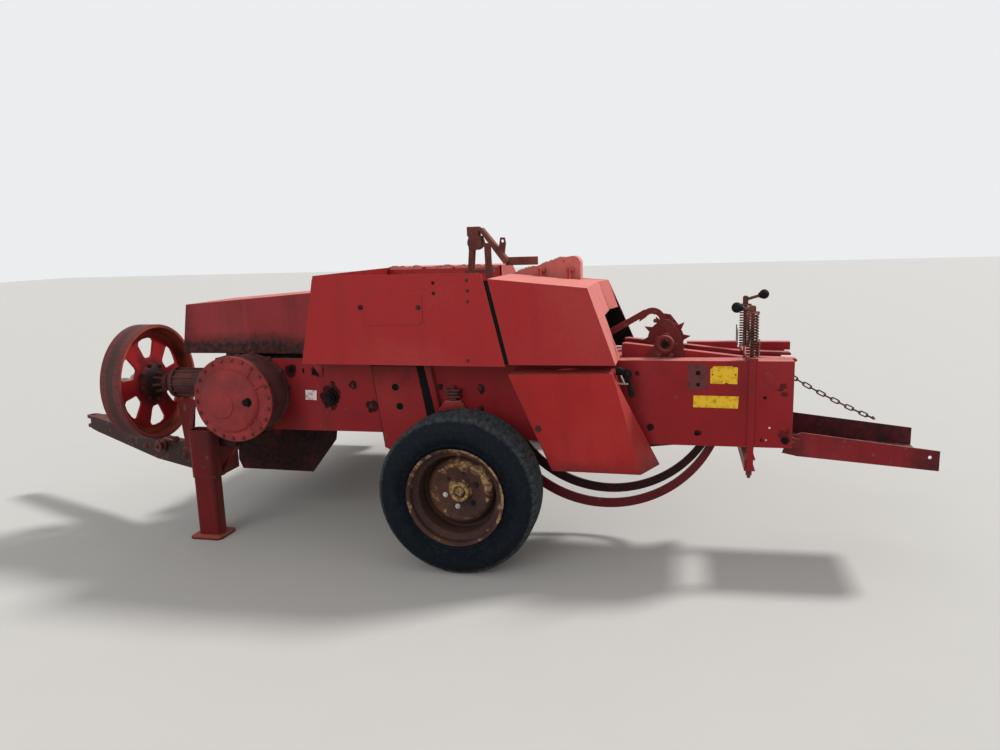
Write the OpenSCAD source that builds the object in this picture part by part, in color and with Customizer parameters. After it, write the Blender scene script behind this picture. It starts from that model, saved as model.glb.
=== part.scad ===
// Square baler, parked on its stand, drawbar in the transport position.
// Millimetres. Machine frame used by every module: X = 0 at the wheel axle
// and +X to the rear, Y = 0 on the bale chamber's centre line with the pickup
// at +Y, Z = 0 on the ground. at_origin() then moves the whole machine so that
// its origin lies on the ground under the middle of its outline.

/* [Bale chamber] */
// Clear width between the chamber walls
chamber_w = 470; // [440:5:500]
// Thickness of the chamber walls
wall_t = 5; // [4:1:8]
// Height of the walls' lower edge behind the axle
wall_bottom = 580; // [570:5:600]
// Height of the walls' lower edge under the plunger
front_bottom = 600; // [590:5:620]
// Height of the walls' upper edge
wall_top = 990; // [970:5:1010]
// Length of the walls ahead of the axle
chamber_front = 1390; // [1340:10:1430]
// Length of the walls behind the axle
chamber_rear = 1535; // [1480:5:1600]
// Height of the floor plate's upper face
floor_z = 620; // [612:1:640]
// Thickness of the floor plate
floor_t = 8; // [6:1:12]
// Length of the fixed roof plate behind the axle
roof_rear = 745; // [720:5:780]
// Width of the inward flange on top of each wall
top_flange_w = 110; // [80:5:115]
// Length of the feed opening in the right wall
feed_len = 560; // [480:10:600]

/* [Wheels and axle] */
// Radius of the left tyre
left_tyre_r = 390; // [370:5:410]
// Width of the left tyre
left_tyre_w = 260; // [220:5:280]
// Radius of the right tyre
right_tyre_r = 340; // [320:5:360]
// Width of the right tyre
right_tyre_w = 180; // [150:5:200]
// Rim radius at the tyre bead of the left wheel
left_rim_r = 238; // [225:1:250]
// Rim radius at the tyre bead of the right wheel
right_rim_r = 203; // [190:1:215]
// Side place of the left tyre's outer face
left_face_y = -620; // [-640:5:-610]
// Side place of the right tyre's outer face
right_face_y = 1980; // [1960:5:2020]
// Radius of the axle beam
axle_r = 45; // [35:1:55]
// Radius of both wheel spindles
spindle_r = 28; // [24:1:32]

/* [Flywheel and gearbox] */
// Radius of the flywheel
fly_r = 325; // [300:5:330]
// Width of the flywheel's rim
fly_w = 120; // [90:5:130]
// Thickness of the flywheel's rim
fly_rim_t = 24; // [16:1:32]
// Height of the flywheel's shaft
fly_z = 845; // [835:1:850]
// Side place of the flywheel's shaft
fly_y = -190; // [-195:1:-185]
// Number of windows in the flywheel's web
fly_windows = 6; // [5:1:9]
// Radius of the gearbox cover
cover_r = 225; // [210:1:235]
// Height of the gearbox cover's centre
gear_z = 805; // [795:1:815]
// Distance of the gearbox cover's centre ahead of the axle
gear_ahead = 1230; // [1210:1:1250]
// Number of bolts round the gearbox cover
cover_bolts = 22; // [16:1:26]
// Radius of the splined input shaft
pto_r = 17.45; // [15:0.05:20]

/* [Shields] */
// Thickness of the sheet metal
sheet_t = 3; // [2:0.5:4]
// Distance of the outer shields from the centre line
shield_y = 420; // [400:5:440]
// Height of the twine box's rim
box_top = 1431; // [1380:1:1440]
// Distance of the twine box's far wall from the centre line
box_far_y = 600; // [560:10:640]
// Distance of the feed hood's far end from the centre line
hood_far_y = 1500; // [1440:10:1560]
// Height of the feed hood's far end
hood_far_z = 1120; // [1100:10:1200]

/* [Needles] */
// Distance of the needle pivot behind the axle
pivot_x = 656; // [640:1:670]
// Height of the needle pivot
pivot_z = 803; // [795:1:810]
// Radius of the needles' middle line round their pivot
needle_r = 577; // [565:1:585]
// Depth of a needle at its root
needle_h = 40; // [30:1:46]
// Thickness of a needle
needle_t = 16; // [12:1:20]
// Distance between the two needles
needle_gap = 240; // [200:5:260]

/* [Feed and pickup] */
// Height of the feed deck's upper face
deck_z = 600; // [590:1:610]
// Thickness of the feed deck
deck_t = 8; // [6:1:10]
// Distance of the deck's front lip ahead of the axle
deck_front = 1090; // [1060:5:1110]
// Distance of the deck's right edge from the centre line
deck_side_y = 1690; // [1640:5:1720]
// Distance of the pickup's left end plate from the centre line
pickup_y0 = 300; // [280:5:330]
// Distance of the pickup's right end plate from the centre line
pickup_y1 = 1654; // [1600:1:1680]
// Distance of the reel's shaft ahead of the axle
reel_ahead = 1420; // [1400:1:1440]
// Height of the reel's shaft
reel_z = 450; // [445:1:460]
// Radius to the tips of the pickup tines
tine_tip_r = 280; // [265:1:285]
// Radius of the stripper bands
band_r = 215; // [205:1:225]
// Number of tine bars on the reel
tine_bars = 4; // [3:1:6]
// Number of stripper bands
band_n = 16; // [12:1:18]

/* [Tension rails] */
// Distance of the tension frame behind the axle
frame_x = 1350; // [1300:5:1400]
// Distance of a tension spring from the centre line
spring_y = 205; // [190:1:215]
// Free length of a tension spring
spring_len = 204; // [180:1:230]
// Mean radius of a tension spring
spring_r = 25; // [20:1:28]
// Radius of a tension spring's wire
wire_r = 4; // [3:0.5:5]
// Number of turns in a tension spring
spring_turns = 15; // [11:1:16]
// Radius of the star wheel's tooth tips
star_r = 122; // [110:1:124]
// Number of teeth on the star wheel
star_teeth = 10; // [8:1:12]

/* [Chute] */
// Length of the bale chute behind its hinge
chute_len = 615; // [560:5:700]
// Distance of a chute wall's outer face from the centre line
chute_y = 220; // [200:1:230]

/* [Drawbar and stand] */
// Distance of the drawbar's pivot ahead of the axle
drawbar_ahead = 1560; // [1550:1:1570]
// Side place of the drawbar's pivot
drawbar_y = -200; // [-205:1:-195]
// Length of the drawbar from its pivot to the hitch hole
drawbar_len = 1400; // [1300:10:1500]
// Angle of the drawbar from straight ahead in transport
drawbar_angle = 24; // [20:1:28]
// Height of the hitch hole's middle
hitch_z = 460; // [440:5:480]
// Radius of the hitch hole
hitch_r = 16; // [12:0.5:18]
// Height of the stand foot's plate above the ground when it is stowed
stand_lift = 300; // [200:10:300]

/* [Hidden] */
$fn = 48;
// Gap between faces of pieces that move past each other
gap = 0.3;
// Radial clearance of a shaft in its hole
run = 0.2;
// Clearance kept round parts that swing
swing = 6;

red = [0.62, 0.13, 0.11];
dark_red = [0.42, 0.10, 0.09];
rust = [0.36, 0.22, 0.15];
black = [0.10, 0.10, 0.11];
steel = [0.45, 0.43, 0.41];

// Chamber, worked out from the driving sizes
in_y = chamber_w / 2;
wall_y = in_y + wall_t;
floor_under = floor_z - floor_t;
roof_t = 5;
roof_front = 640;
flange_y = wall_y - top_flange_w;

// Shield outlines, front to rear
box_front_top = -741;
box_front_foot = -832;
box_rear_top = 118;
box_rear_foot = 220;
box_foot = wall_top;
function box_front(z) =
    box_front_foot + (z - box_foot) * (box_front_top - box_front_foot) / (box_top - box_foot);
divider_x = -30;

// Hitch place in the machine frame
hitch_x = -drawbar_ahead - drawbar_len * cos(drawbar_angle);
hitch_y = drawbar_y + drawbar_len * sin(drawbar_angle);
hitch_ear_r = 38;

// Overall extents, and the middle that becomes the origin
chute_hinge_x = chamber_rear + 15;
chute_rear = chute_hinge_x + chute_len;
front_x = hitch_x - hitch_ear_r;
mid_x = (front_x + chute_rear) / 2;
mid_y = (left_face_y + right_face_y) / 2;

module at_origin() translate([-mid_x, -mid_y, 0]) children();

// Block between two corners
module block(x0, x1, y0, y1, z0, z1)
    translate([x0, y0, z0]) cube([x1 - x0, y1 - y0, z1 - z0]);

// Plate cut from an X-Z outline, between two side places
module plate(points, y0, y1)
    translate([0, y1, 0]) rotate([90, 0, 0]) linear_extrude(y1 - y0) polygon(points);

// The same for any 2D children
module profile(y0, y1)
    translate([0, y1, 0]) rotate([90, 0, 0]) linear_extrude(y1 - y0) children();

// Round bar along Y
module bar_y(r, x, z, y0, y1)
    translate([x, y1, z]) rotate([90, 0, 0]) cylinder(r = r, h = y1 - y0);

// Round bar along X
module bar_x(r, y, z, x0, x1)
    translate([x0, y, z]) rotate([0, 90, 0]) cylinder(r = r, h = x1 - x0);

// Round bar along Z
module bar_z(r, x, y, z0, z1)
    translate([x, y, z0]) cylinder(r = r, h = z1 - z0);

// Round bar between two points
module rod(a, b, r) {
    d = b - a;
    length = norm(d);
    translate(a) rotate([0, acos(d.z / length), atan2(d.y, d.x)]) cylinder(r = r, h = length);
}

// Tube swept along a list of points, closed at both ends
module swept(path, r, sides) {
    n = len(path);
    function unit(v) = v / norm(v);
    function ahead(i) = unit(path[min(i + 1, n - 1)] - path[max(i - 1, 0)]);
    function side(i) = unit(cross(ahead(i), [0.03, 0.02, 1]));
    rings = [for (i = [0:n - 1], k = [0:sides - 1])
        let (a = k * 360 / sides, s = side(i), u = cross(s, ahead(i)))
        path[i] + r * (cos(a) * s + sin(a) * u)];
    walls = [for (i = [0:n - 2], k = [0:sides - 1])
        let (a = i * sides + k, b = i * sides + (k + 1) % sides)
        [a, b, b + sides, a + sides]];
    first = [for (k = [sides - 1:-1:0]) k];
    last = [for (k = [0:sides - 1]) (n - 1) * sides + k];
    polyhedron(points = rings, faces = concat(walls, [first, last]), convexity = 6);
}

// Bale chamber

module side_wall() {
    plate([[-chamber_front, front_bottom], [-490, front_bottom],
        [-470, wall_bottom], [chamber_rear, wall_bottom],
        [chamber_rear, wall_top], [-chamber_front, wall_top]], -wall_y, -in_y);
    // inward flange along the top behind the roof plate
    block(roof_rear, chamber_rear, -in_y, -flange_y, wall_top - roof_t, wall_top);
    // folded lip along the lower edge behind the needles
    block(870, chamber_rear - 60, -in_y, -in_y + 30, wall_bottom, wall_bottom + 4);
}

module left_wall() at_origin() color(red) difference() {
    side_wall();
    // x, z and radius of each bare bolt hole
    for (hole = [[826, 930, 9], [888, 661, 8], [1112, 642, 8], [1410, 818, 8]])
        bar_y(hole[2], hole[0], hole[1], -wall_y - 1, -in_y + 1);
    // two square holes where a bracket was taken off
    for (spot = [[1108, 933, 9], [1109, 875, 8]])
        block(spot[0] - spot[2], spot[0] + spot[2], -wall_y - 1, -in_y + 1,
            spot[1] - spot[2], spot[1] + spot[2]);
}

module right_wall() at_origin() color(red) {
    difference() {
        mirror([0, 1, 0]) side_wall();
        block(-20 - feed_len, -20, in_y - 1, wall_y + 1, floor_z + 10, wall_top - 50);
    }
    // lug that holds the chute's chain
    block(chamber_rear - 40, chamber_rear, wall_y, wall_y + chain_lug_t, 850, 905);
    // raised angle along the right flange, behind the star wheel's bracket
    for (span = [[star_x + 105, frame_x - 40], [frame_x + 40, chamber_rear + 28]]) {
        block(span[0], span[1], flange_y, flange_y + 5, wall_top, wall_top + 40);
        block(span[0], span[1], flange_y + 5, flange_y + 50, wall_top + 35, wall_top + 40);
    }
}

module chamber_floor() at_origin() color(dark_red) difference() {
    block(-chamber_front, chamber_rear - 35, -in_y, in_y, floor_under, floor_z);
    for (side = [-1, 1])
        block(60, 165, side * needle_gap / 2 - needle_t / 2 - swing,
            side * needle_gap / 2 + needle_t / 2 + swing, floor_under - 1, floor_z + 1);
}

module chamber_roof() at_origin() color(dark_red) difference() {
    block(-roof_front, roof_rear, -in_y, in_y, wall_top - roof_t, wall_top);
    for (side = [-1, 1])
        block(50, 210, side * needle_gap / 2 - needle_t / 2 - swing,
            side * needle_gap / 2 + needle_t / 2 + swing, wall_top - roof_t - 1, wall_top + 1);
}

// The lower beam lies under the walls' ends and carries the drawbar's mount
frame_end = chamber_front + 60;
plate_front = drawbar_ahead - 68;
plate_rear = drawbar_ahead - 80;
beam_front = max(frame_end, plate_front);
beam_rear = min(chamber_front - 40, plate_rear - 60);
beam_z0 = 500;
sleeve_y1 = -270;
module front_frame() at_origin() color(dark_red) {
    // top and bottom cross members between the wall ends
    block(-frame_end, -chamber_front, -wall_y, wall_y, wall_top - 60, wall_top);
    block(-beam_front, -beam_rear, sleeve_y1, wall_y, beam_z0, front_bottom);
    // posts
    block(-frame_end, -chamber_front, wall_y - 50, wall_y, front_bottom, wall_top - 60);
    block(-frame_end, -chamber_front, -60, 40, front_bottom, fly_z - 90);
}

// Tension rails and their frame

rail_in = 75;
rail_out = 125;
beam_foot = wall_top + 2;
beam_t = 12;
beam_x0 = frame_x - 25;
beam_x1 = frame_x + 25;
module tension_rails() at_origin() color(dark_red) for (side = [-1, 1])
    plate([[roof_rear, wall_top - 5], [chamber_rear + 25, wall_top - 20],
        [chamber_rear + 28, wall_top - 12], [chamber_rear + 20, wall_top - 4],
        [beam_x1, beam_foot], [beam_x0, beam_foot], [roof_rear + 20, wall_top + 68],
        [roof_rear, wall_top + 64]],
        side > 0 ? rail_in : -rail_out, side > 0 ? rail_out : -rail_in);

cross_z0 = 465;
cross_z1 = 525;
strap_t = 10;
module tension_frame() at_origin() color(dark_red) {
    block(beam_x0, beam_x1, -wall_y - strap_t, wall_y + strap_t, beam_foot, beam_foot + beam_t);
    for (side = [-1, 1])
        block(frame_x - 15, frame_x + 15, side > 0 ? wall_y : -wall_y - strap_t,
            side > 0 ? wall_y + strap_t : -wall_y, cross_z0, beam_foot);
    difference() {
        block(beam_x0, beam_x1, -wall_y - strap_t, wall_y + strap_t, cross_z0, cross_z1);
        block(beam_x0 + 6, beam_x1 + 1, -wall_y - strap_t - 1, wall_y + strap_t + 1,
            cross_z0 + 6, cross_z1 - 6);
    }
}

spring_foot = beam_foot + beam_t;
module tension_springs() at_origin() color(rust) for (side = [-1, 1]) {
    steps = 10;
    rise = spring_len - 2 * (wire_r + gap);
    path = [for (i = [0:steps * spring_turns]) let (a = 360 * i / steps) [
        frame_x + spring_r * cos(a), side * spring_y + spring_r * sin(a),
        spring_foot + wire_r + gap + rise * i / (steps * spring_turns)]];
    swept(path, wire_r, 6);
}

screw_r = 9;
ball_r = 25;
// Side, crank direction and crank height of each tension screw
cranks = [[-1, [-64, 0, 10], 30], [1, [80, 0, 24], 44]];
module tension_screws() at_origin() color(rust) for (crank = cranks) {
    top = spring_foot + spring_len;
    foot = [frame_x, crank[0] * spring_y, top + crank[2] - 16];
    bar_z(screw_r, frame_x, crank[0] * spring_y, spring_foot, top + crank[2]);
    bar_z(spring_r + wire_r + 2, frame_x, crank[0] * spring_y, top, top + 8);
    bar_z(screw_r + 6, frame_x, crank[0] * spring_y, top + 8, top + crank[2] + 4);
    rod(foot, foot + crank[1], 8);
    translate(foot + crank[1] * 1.12) sphere(r = ball_r);
}

// Star wheel with its bracket and trip lever

star_x = 955;
star_z = 1065;
star_shaft_r = 12;
bracket_y = flange_y + 2;
module star_bracket() at_origin() color(rust) {
    for (side = [-1, 1])
        plate([[star_x - 105, wall_top], [star_x + 85, wall_top], [star_x + 88, wall_top + 60],
            [star_x + 62, wall_top + 130], [star_x + 22, wall_top + 182],
            [star_x - 22, wall_top + 190], [star_x - 30, wall_top + 172],
            [star_x + 10, wall_top + 130], [star_x + 22, wall_top + 106],
            [star_x - 40, wall_top + 100], [star_x - 62, wall_top + 40]],
            side > 0 ? bracket_y : -bracket_y - 8, side > 0 ? bracket_y + 8 : -bracket_y);
    bar_y(star_shaft_r, star_x, star_z, -bracket_y, bracket_y);
    bar_y(26, star_x, star_z, -bracket_y - 22, -bracket_y - 8);
    trip_lever();
}

// Arched lever that runs forward through the knotter cover's notch
module trip_lever()
    profile(-bracket_y, -bracket_y + 8) difference() {
        union() {
            polygon([[650, 1072], [862, 1194], [876, 1224], [852, 1222], [640, 1102]]);
            translate([893, 1170]) circle(r = 62);
        }
        translate([893, 1166]) circle(r = 36);
        polygon([[650, 1040], [862, 1185], [900, 1160], [1000, 1195], [1010, 1060]]);
    }

module star_wheel() at_origin() color(dark_red) difference() {
    union() {
        profile(-6, 6) {
            circle_at(star_x, star_z, star_r - 34);
            for (i = [0:star_teeth - 1])
                translate([star_x, star_z]) rotate(i * 360 / star_teeth + 6)
                    polygon([[star_r - 40, -19], [star_r, 0], [star_r - 40, 13]]);
        }
        bar_y(30, star_x, star_z, -40, 40);
    }
    bar_y(star_shaft_r + run, star_x, star_z, -50, 50);
}

module circle_at(x, z, r) translate([x, z]) circle(r = r);

// Crank cover and gearbox

module crank_cover() at_origin() color(red) {
    foot = wall_top + 27;
    rear_top = 1343;
    outline = [[-1642, foot], [-1598, 1284], [box_front(rear_top) - 1, rear_top],
        [box_front(foot) - 1, foot]];
    inner = [[-1642 + sheet_t, foot - 1], [-1598 + sheet_t, 1284 - sheet_t],
        [box_front(rear_top), rear_top - sheet_t], [box_front(foot), foot - 1]];
    difference() {
        plate(outline, -wall_y + 2, wall_y - 2);
        plate(inner, -wall_y + 2 + sheet_t, wall_y - 2 - sheet_t);
    }
    // feet down to the walls' upper edges
    for (x = [-1380, -900], side = [-1, 1])
        block(x, x + 60, side > 0 ? wall_y - 5 : -wall_y + 2, side > 0 ? wall_y - 2 : -wall_y + 5,
            wall_top, foot);
}

gear_x = -gear_ahead;
drum_y = -430;
pinion_end = gear_x - 510;
neck_x = -frame_end - 34;
neck_half = 85;
pinion_r = 72;
shaft_r = 28;
module gearbox_housing() at_origin() color(rust) difference() {
    union() {
        bar_y(cover_r - 18, gear_x, gear_z, drum_y + 14, -wall_y);
        bar_y(cover_r, gear_x, gear_z, drum_y, drum_y + 14);
        // neck round the pinion, ahead of the wall
        block(neck_x, -frame_end - 1, -400, fly_y + 60, fly_z - neck_half, fly_z + neck_half);
        block(neck_x, gear_x - 120, -400, -wall_y - 1, fly_z - neck_half, fly_z + neck_half);
        bar_x(pinion_r, fly_y, fly_z, pinion_end, neck_x);
        bar_x(pinion_r + 14, fly_y, fly_z, pinion_end, pinion_end + 22);
        for (a = [0:30:330])
            translate([0, fly_y, fly_z]) rotate([a, 0, 0])
                block(pinion_end + 10, neck_x + 2, -4, 4, pinion_r - 8, pinion_r + 10);
    }
    bar_x(shaft_r + run, fly_y, fly_z, pinion_end - 1, pinion_end + 80);
}

module gearbox_cover() at_origin() color(rust) {
    translate([gear_x, drum_y, gear_z]) rotate([90, 0, 0]) rotate_extrude()
        polygon([[0, 0], [cover_r, 0], [cover_r, 13], [cover_r - 35, 13],
            [cover_r - 52, 26], [cover_r - 120, 36], [72, 38], [68, 46], [0, 46]]);
    for (i = [0:cover_bolts - 1])
        rotate_about_y(gear_x, gear_z, i * 360 / cover_bolts + 4)
            bar_y(9, gear_x + cover_r - 16, gear_z, drum_y - 22, drum_y - 12);
    // filler plug
    bar_y(19, gear_x + 102, gear_z + 8, drum_y - 44, drum_y - 25);
}

module rotate_about_y(x, z, a)
    translate([x, 0, z]) rotate([0, a, 0]) translate([-x, 0, -z]) children();

// Flywheel, turned about X, windows cut through its web
fly_rear = -1850;
web_front = 50;
hub_r = 62;
module flywheel() at_origin() color(red) translate([fly_rear, fly_y, fly_z]) {
    difference() {
        rotate([0, -90, 0]) rotate_extrude() polygon([
            [0, -45], [shaft_r + 16, -45], [shaft_r + 22, 10], [hub_r + 30, web_front - 12],
            [hub_r + 40, web_front], [fly_r - fly_rim_t, web_front + 4],
            [fly_r - fly_rim_t, 12], [fly_r - fly_rim_t + 6, 0],
            [fly_r, 0], [fly_r, fly_w], [fly_r - fly_rim_t, fly_w],
            [fly_r - fly_rim_t, web_front + 18], [hub_r + 30, web_front + 14],
            [hub_r, web_front + 22], [hub_r, fly_w + 10], [0, fly_w + 10]]);
        for (i = [0:fly_windows - 1])
            rotate([i * 360 / fly_windows + 4, 0, 0]) rotate([0, -90, 0])
                linear_extrude(200, center = true)
                    polygon([[140, -22], [152, -34], [222, -64], [240, -56], [250, -24],
                        [250, 24], [240, 56], [222, 64], [152, 34], [140, 22]]);
    }
    bar_x(shaft_r, 0, 0, 44, pinion_end - fly_rear + 76);
}

pto_front = fly_rear - fly_w - 10;
module pto_shaft() at_origin() color(steel) {
    bar_x(48, fly_y, fly_z, pto_front - 40, pto_front);
    bar_x(pto_r, fly_y, fly_z, pto_front - 140, pto_front - 40);
}

// Plunger and its crank

plunger_x0 = -1240;
plunger_x1 = -640;
module plunger() at_origin() color(steel) {
    y = in_y - 8;
    top = wall_top - roof_t - 6;
    difference() {
        block(plunger_x0, plunger_x1, -y, y, floor_z + 12, top);
        // hollow body, open to the front
        block(plunger_x0 - 1, plunger_x1 - 60, -y + 12, y - 12, floor_z + 24, top - 12);
        // needle slots in the face
        for (side = [-1, 1])
            block(plunger_x1 - 160, plunger_x1 + 1, side * needle_gap / 2 - 14,
                side * needle_gap / 2 + 14, floor_z + 11, top + 1);
    }
    // slides on the floor
    for (side = [-1, 1])
        block(plunger_x0 + 40, plunger_x1 - 40, side * (y - 25) - 15, side * (y - 25) + 15,
            floor_z, floor_z + 12);
    plunger_crank();
}

// Crank on the gearbox's shaft and the rod that drives the plunger
module plunger_crank() {
    bar_y(70, gear_x, gear_z, -in_y, -in_y + 30);
    plate([[gear_x - 45, gear_z - 60], [gear_x + 45, gear_z - 60],
        [gear_x + 35, gear_z + 40], [gear_x - 35, gear_z + 40]], -in_y + 30, -in_y + 60);
}

// Twine box round the knotters' left side, open on top

module twine_box() at_origin() color(red) {
    near = -shield_y;
    difference() {
        union() {
            // left shield with rounded upper corners
            profile(near, near + sheet_t) {
                r = 30;
                polygon([[box_front_foot, box_foot + 2], [box_front(box_top - r), box_top - r],
                    [box_front_top + r, box_top], [box_rear_top - r, box_top - 3],
                    [box_rear_top + 6, box_top - r], [box_rear_foot, box_foot - 5]]);
                circle_at(box_front_top + 24, box_top - r, r);
                circle_at(box_rear_top - r + 6, box_top - r - 2, r);
            }
            // raised access panel
            profile(near - 4, near)
                translate([-480, 1188]) offset_box(300, 160, 24);
        }
    }
    far = box_far_y - sheet_t;
    // front wall, leaning like the shield's front edge
    plate([[box_front_foot, box_foot], [box_front_foot + sheet_t, box_foot],
        [box_front_top + sheet_t, box_top], [box_front_top, box_top]], near + sheet_t, far);
    // far wall
    plate([[box_front_foot, box_foot], [divider_x, box_foot],
        [divider_x, box_top], [box_front_top, box_top]], far, box_far_y);
    // floor and the divider ahead of the knotters
    block(box_front_foot + sheet_t, divider_x, near + sheet_t, far, box_foot, box_foot + sheet_t);
    block(divider_x - sheet_t, divider_x, near + sheet_t, far, box_foot + sheet_t, 1230);
    // bracket that holds the shield's rear end on the left wall
    block(150, 155, near + sheet_t, -in_y, wall_top, wall_top + 110);
}

// Rectangle with round corners, from its lower left corner
module offset_box(w, h, r) {
    translate([r, 0]) square([w - 2 * r, h]);
    translate([0, r]) square([w, h - 2 * r]);
    for (x = [r, w - r], z = [r, h - r]) translate([x, z]) circle(r = r);
}

// Knotter cover, a lid hinged along its far side

lid_front_top = 146;
lid_front_foot = 239;
lid_rear_top = 612;
lid_rear_foot = 738;
lid_top = 1400;
lid_top_rear = 1350;
lid_foot = wall_top + 4;
lid_far = 100;
hinge_y = 118;
hinge_z = 1415;
hinge_r = 7;
hinge_ears = [[300, 312], [452, 464]];
module knotter_cover() at_origin() color(red) {
    t = sheet_t;
    difference() {
        plate([[lid_front_top, lid_top], [lid_rear_top, lid_top_rear],
            [lid_rear_foot, lid_foot], [lid_front_foot, lid_foot]], -shield_y, lid_far);
        plate([[lid_front_top - 40, lid_top - t + 4], [lid_rear_top - t, lid_top_rear - t],
            [lid_rear_foot - t, lid_foot - 1], [lid_front_foot - 40, lid_foot - 1]],
            -shield_y + t, lid_far + 1);
        // notch for the trip lever, open to the far lower corner
        block(620, 760, -150, lid_far + 1, lid_foot - 1, 1200);
    }
    // hinge ears
    for (ear = hinge_ears) difference() {
        union() {
            block(ear[0], ear[1], lid_far - 30, hinge_y, hinge_z - 12, hinge_z + 12);
            bar_x(12, hinge_y, hinge_z, ear[0], ear[1]);
            block(ear[0], ear[1], lid_far - 30, lid_far,
                lid_top - t - (ear[1] - lid_front_top) * (lid_top - lid_top_rear)
                / (lid_rear_top - lid_front_top), hinge_z);
        }
        bar_x(hinge_r + run, hinge_y, hinge_z, ear[0] - 1, ear[1] + 1);
    }
}

// Cover of the knotter and feeder drive, on the chamber's right side

drive_y0 = 136;
module drive_cover() at_origin() color(red) {
    t = sheet_t;
    difference() {
        profile(drive_y0, wall_y) drive_outline(0);
        profile(drive_y0 + t, wall_y - t) drive_outline(t);
        // passage for the linkage at the front
        block(100, 140, drive_y0 + t, wall_y - t, wall_top, 1380);
    }
    // hinge pins of the knotter cover with their brackets
    for (ear = hinge_ears) {
        bar_x(hinge_r, hinge_y, hinge_z, ear[0] - 14, ear[1] + 14);
        for (x = [ear[0] - 14, ear[1] + gap])
            block(x, x + 14 - gap, hinge_y - 10, drive_y0, hinge_z - 10, hinge_z + 10);
    }
}

// Outline of the drive cover, set in by the sheet's thickness and open below
module drive_outline(t) {
    r = 40;
    polygon([[120 + t, wall_top - t], [120 + t, 1392 - t], [300, 1440 - t],
        [430, 1478 - t], [512 - r, 1483 - t], [512 - t, 1483 - r], [512 - t, wall_top - t]]);
    translate([512 - r, 1483 - r]) circle(r = r - t);
}

// Lower shield over the needle drive

module lower_shield() at_origin() color(red) {
    t = sheet_t;
    outline = [[233, 946], [722, 956], [849, 479], [435, 482]];
    foot_x = 931;
    // outer plate and leaning flanges back to the wall
    plate(outline, -shield_y, -shield_y + t);
    difference() {
        plate(outline, -shield_y + t, -wall_y);
        plate([[233 + t, 946 - t], [722 - t, 956 - t], [849 - t, 478], [435 + t, 478]],
            -shield_y + t - 1, -wall_y + 1);
        // below the wall the rear flange stands clear of the yoke
        block(400, 900, -shield_y + 120, -wall_y + 1, 470, wall_bottom);
    }
    // rear flange's broad foot
    shield_foot(foot_x);
}

// Leaning triangle that widens the lower shield's rear edge to the wall
module shield_foot(foot_x) {
    hull() {
        block(722, 725, -shield_y, -shield_y + 3, 950, 953);
        block(849, 852, -shield_y, -shield_y + 3, 479, 482);
        block(foot_x, foot_x + 3, -shield_y + 150, -shield_y + 153, 488, 491);
    }
}

// Knotters

knot_x = 330;
knot_z = 1130;
knot_shaft_r = 18;
module knotters() at_origin() color(rust) {
    // shaft across the chamber on two frames
    bar_y(knot_shaft_r, knot_x, knot_z, -in_y, 90);
    for (y = [-in_y, 80])
        plate([[knot_x - 60, wall_top], [knot_x + 70, wall_top],
            [knot_x + 34, knot_z + 30], [knot_x - 34, knot_z + 30]], y, y + 10);
    for (y = [-needle_gap / 2, needle_gap / 2 - 72]) knotter(y);
}

// One knotter: cam gear on the shaft, its frame, the billhook and the twine disc
module knotter(y) {
    gear_r = 92;
    // cam gear with a tooth sector, a cam track and spokes' hollow
    difference() {
        profile(y - 24, y - 10) {
            circle_at(knot_x, knot_z, gear_r);
            for (a = [100:12:172])
                translate([knot_x, knot_z]) rotate(a)
                    polygon([[gear_r - 4, -5], [gear_r + 9, -3], [gear_r + 9, 3],
                        [gear_r - 4, 5]]);
        }
        bar_y(gear_r - 18, knot_x, knot_z, y - 16, y - 9);
    }
    bar_y(34, knot_x, knot_z, y - 17, y + 30);
    // frame hung from the shaft, forward of it
    difference() {
        plate([[knot_x + 34, knot_z + 20], [knot_x - 20, knot_z + 38],
            [knot_x - 120, knot_z - 6], [knot_x - 138, knot_z - 70],
            [knot_x - 112, knot_z - 74], [knot_x - 84, knot_z - 40],
            [knot_x + 10, knot_z - 34]], y + 12, y + 24);
        bar_y(14, knot_x - 70, knot_z - 4, y + 11, y + 25);
    }
    // billhook on its leaning shaft, the hook's two jaws open to the rear
    rod([knot_x - 100, y + 18, knot_z - 20], [knot_x - 76, y + 18, knot_z - 104], 9);
    rod([knot_x - 76, y + 18, knot_z - 100], [knot_x - 30, y + 18, knot_z - 112], 6);
    rod([knot_x - 76, y + 18, knot_z - 96], [knot_x - 34, y + 18, knot_z - 98], 4);
    // notched twine disc with its holder
    difference() {
        bar_y(30, knot_x - 116, knot_z - 60, y - 6, y + 13);
        for (a = [0:90:270])
            translate([knot_x - 116, 0, knot_z - 60]) rotate([0, a + 20, 0])
                block(20, 34, y - 7, y + 14, -4, 4);
    }
    // knife arm down beside the billhook
    plate([[knot_x - 30, knot_z - 8], [knot_x - 12, knot_z - 16], [knot_x - 44, knot_z - 92],
        [knot_x - 58, knot_z - 90]], y + 24, y + 29);
}

// Needles and their yoke

yoke_y0 = wall_y + 22;
yoke_t = 12;
yoke_x = pivot_x + 134;
yoke_z = pivot_z - 263;
yoke_r = 20;
pivot_r = 25;
module needle_pivots() at_origin() color(dark_red) for (side = [-1, 1]) {
    y0 = side > 0 ? wall_y : -wall_y - 14;
    bar_y(60, pivot_x, pivot_z, y0, y0 + 14);
    bar_y(pivot_r, pivot_x, pivot_z, side > 0 ? wall_y : -yoke_y0 - yoke_t - 8,
        side > 0 ? yoke_y0 + yoke_t + 8 : -wall_y);
}

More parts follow.
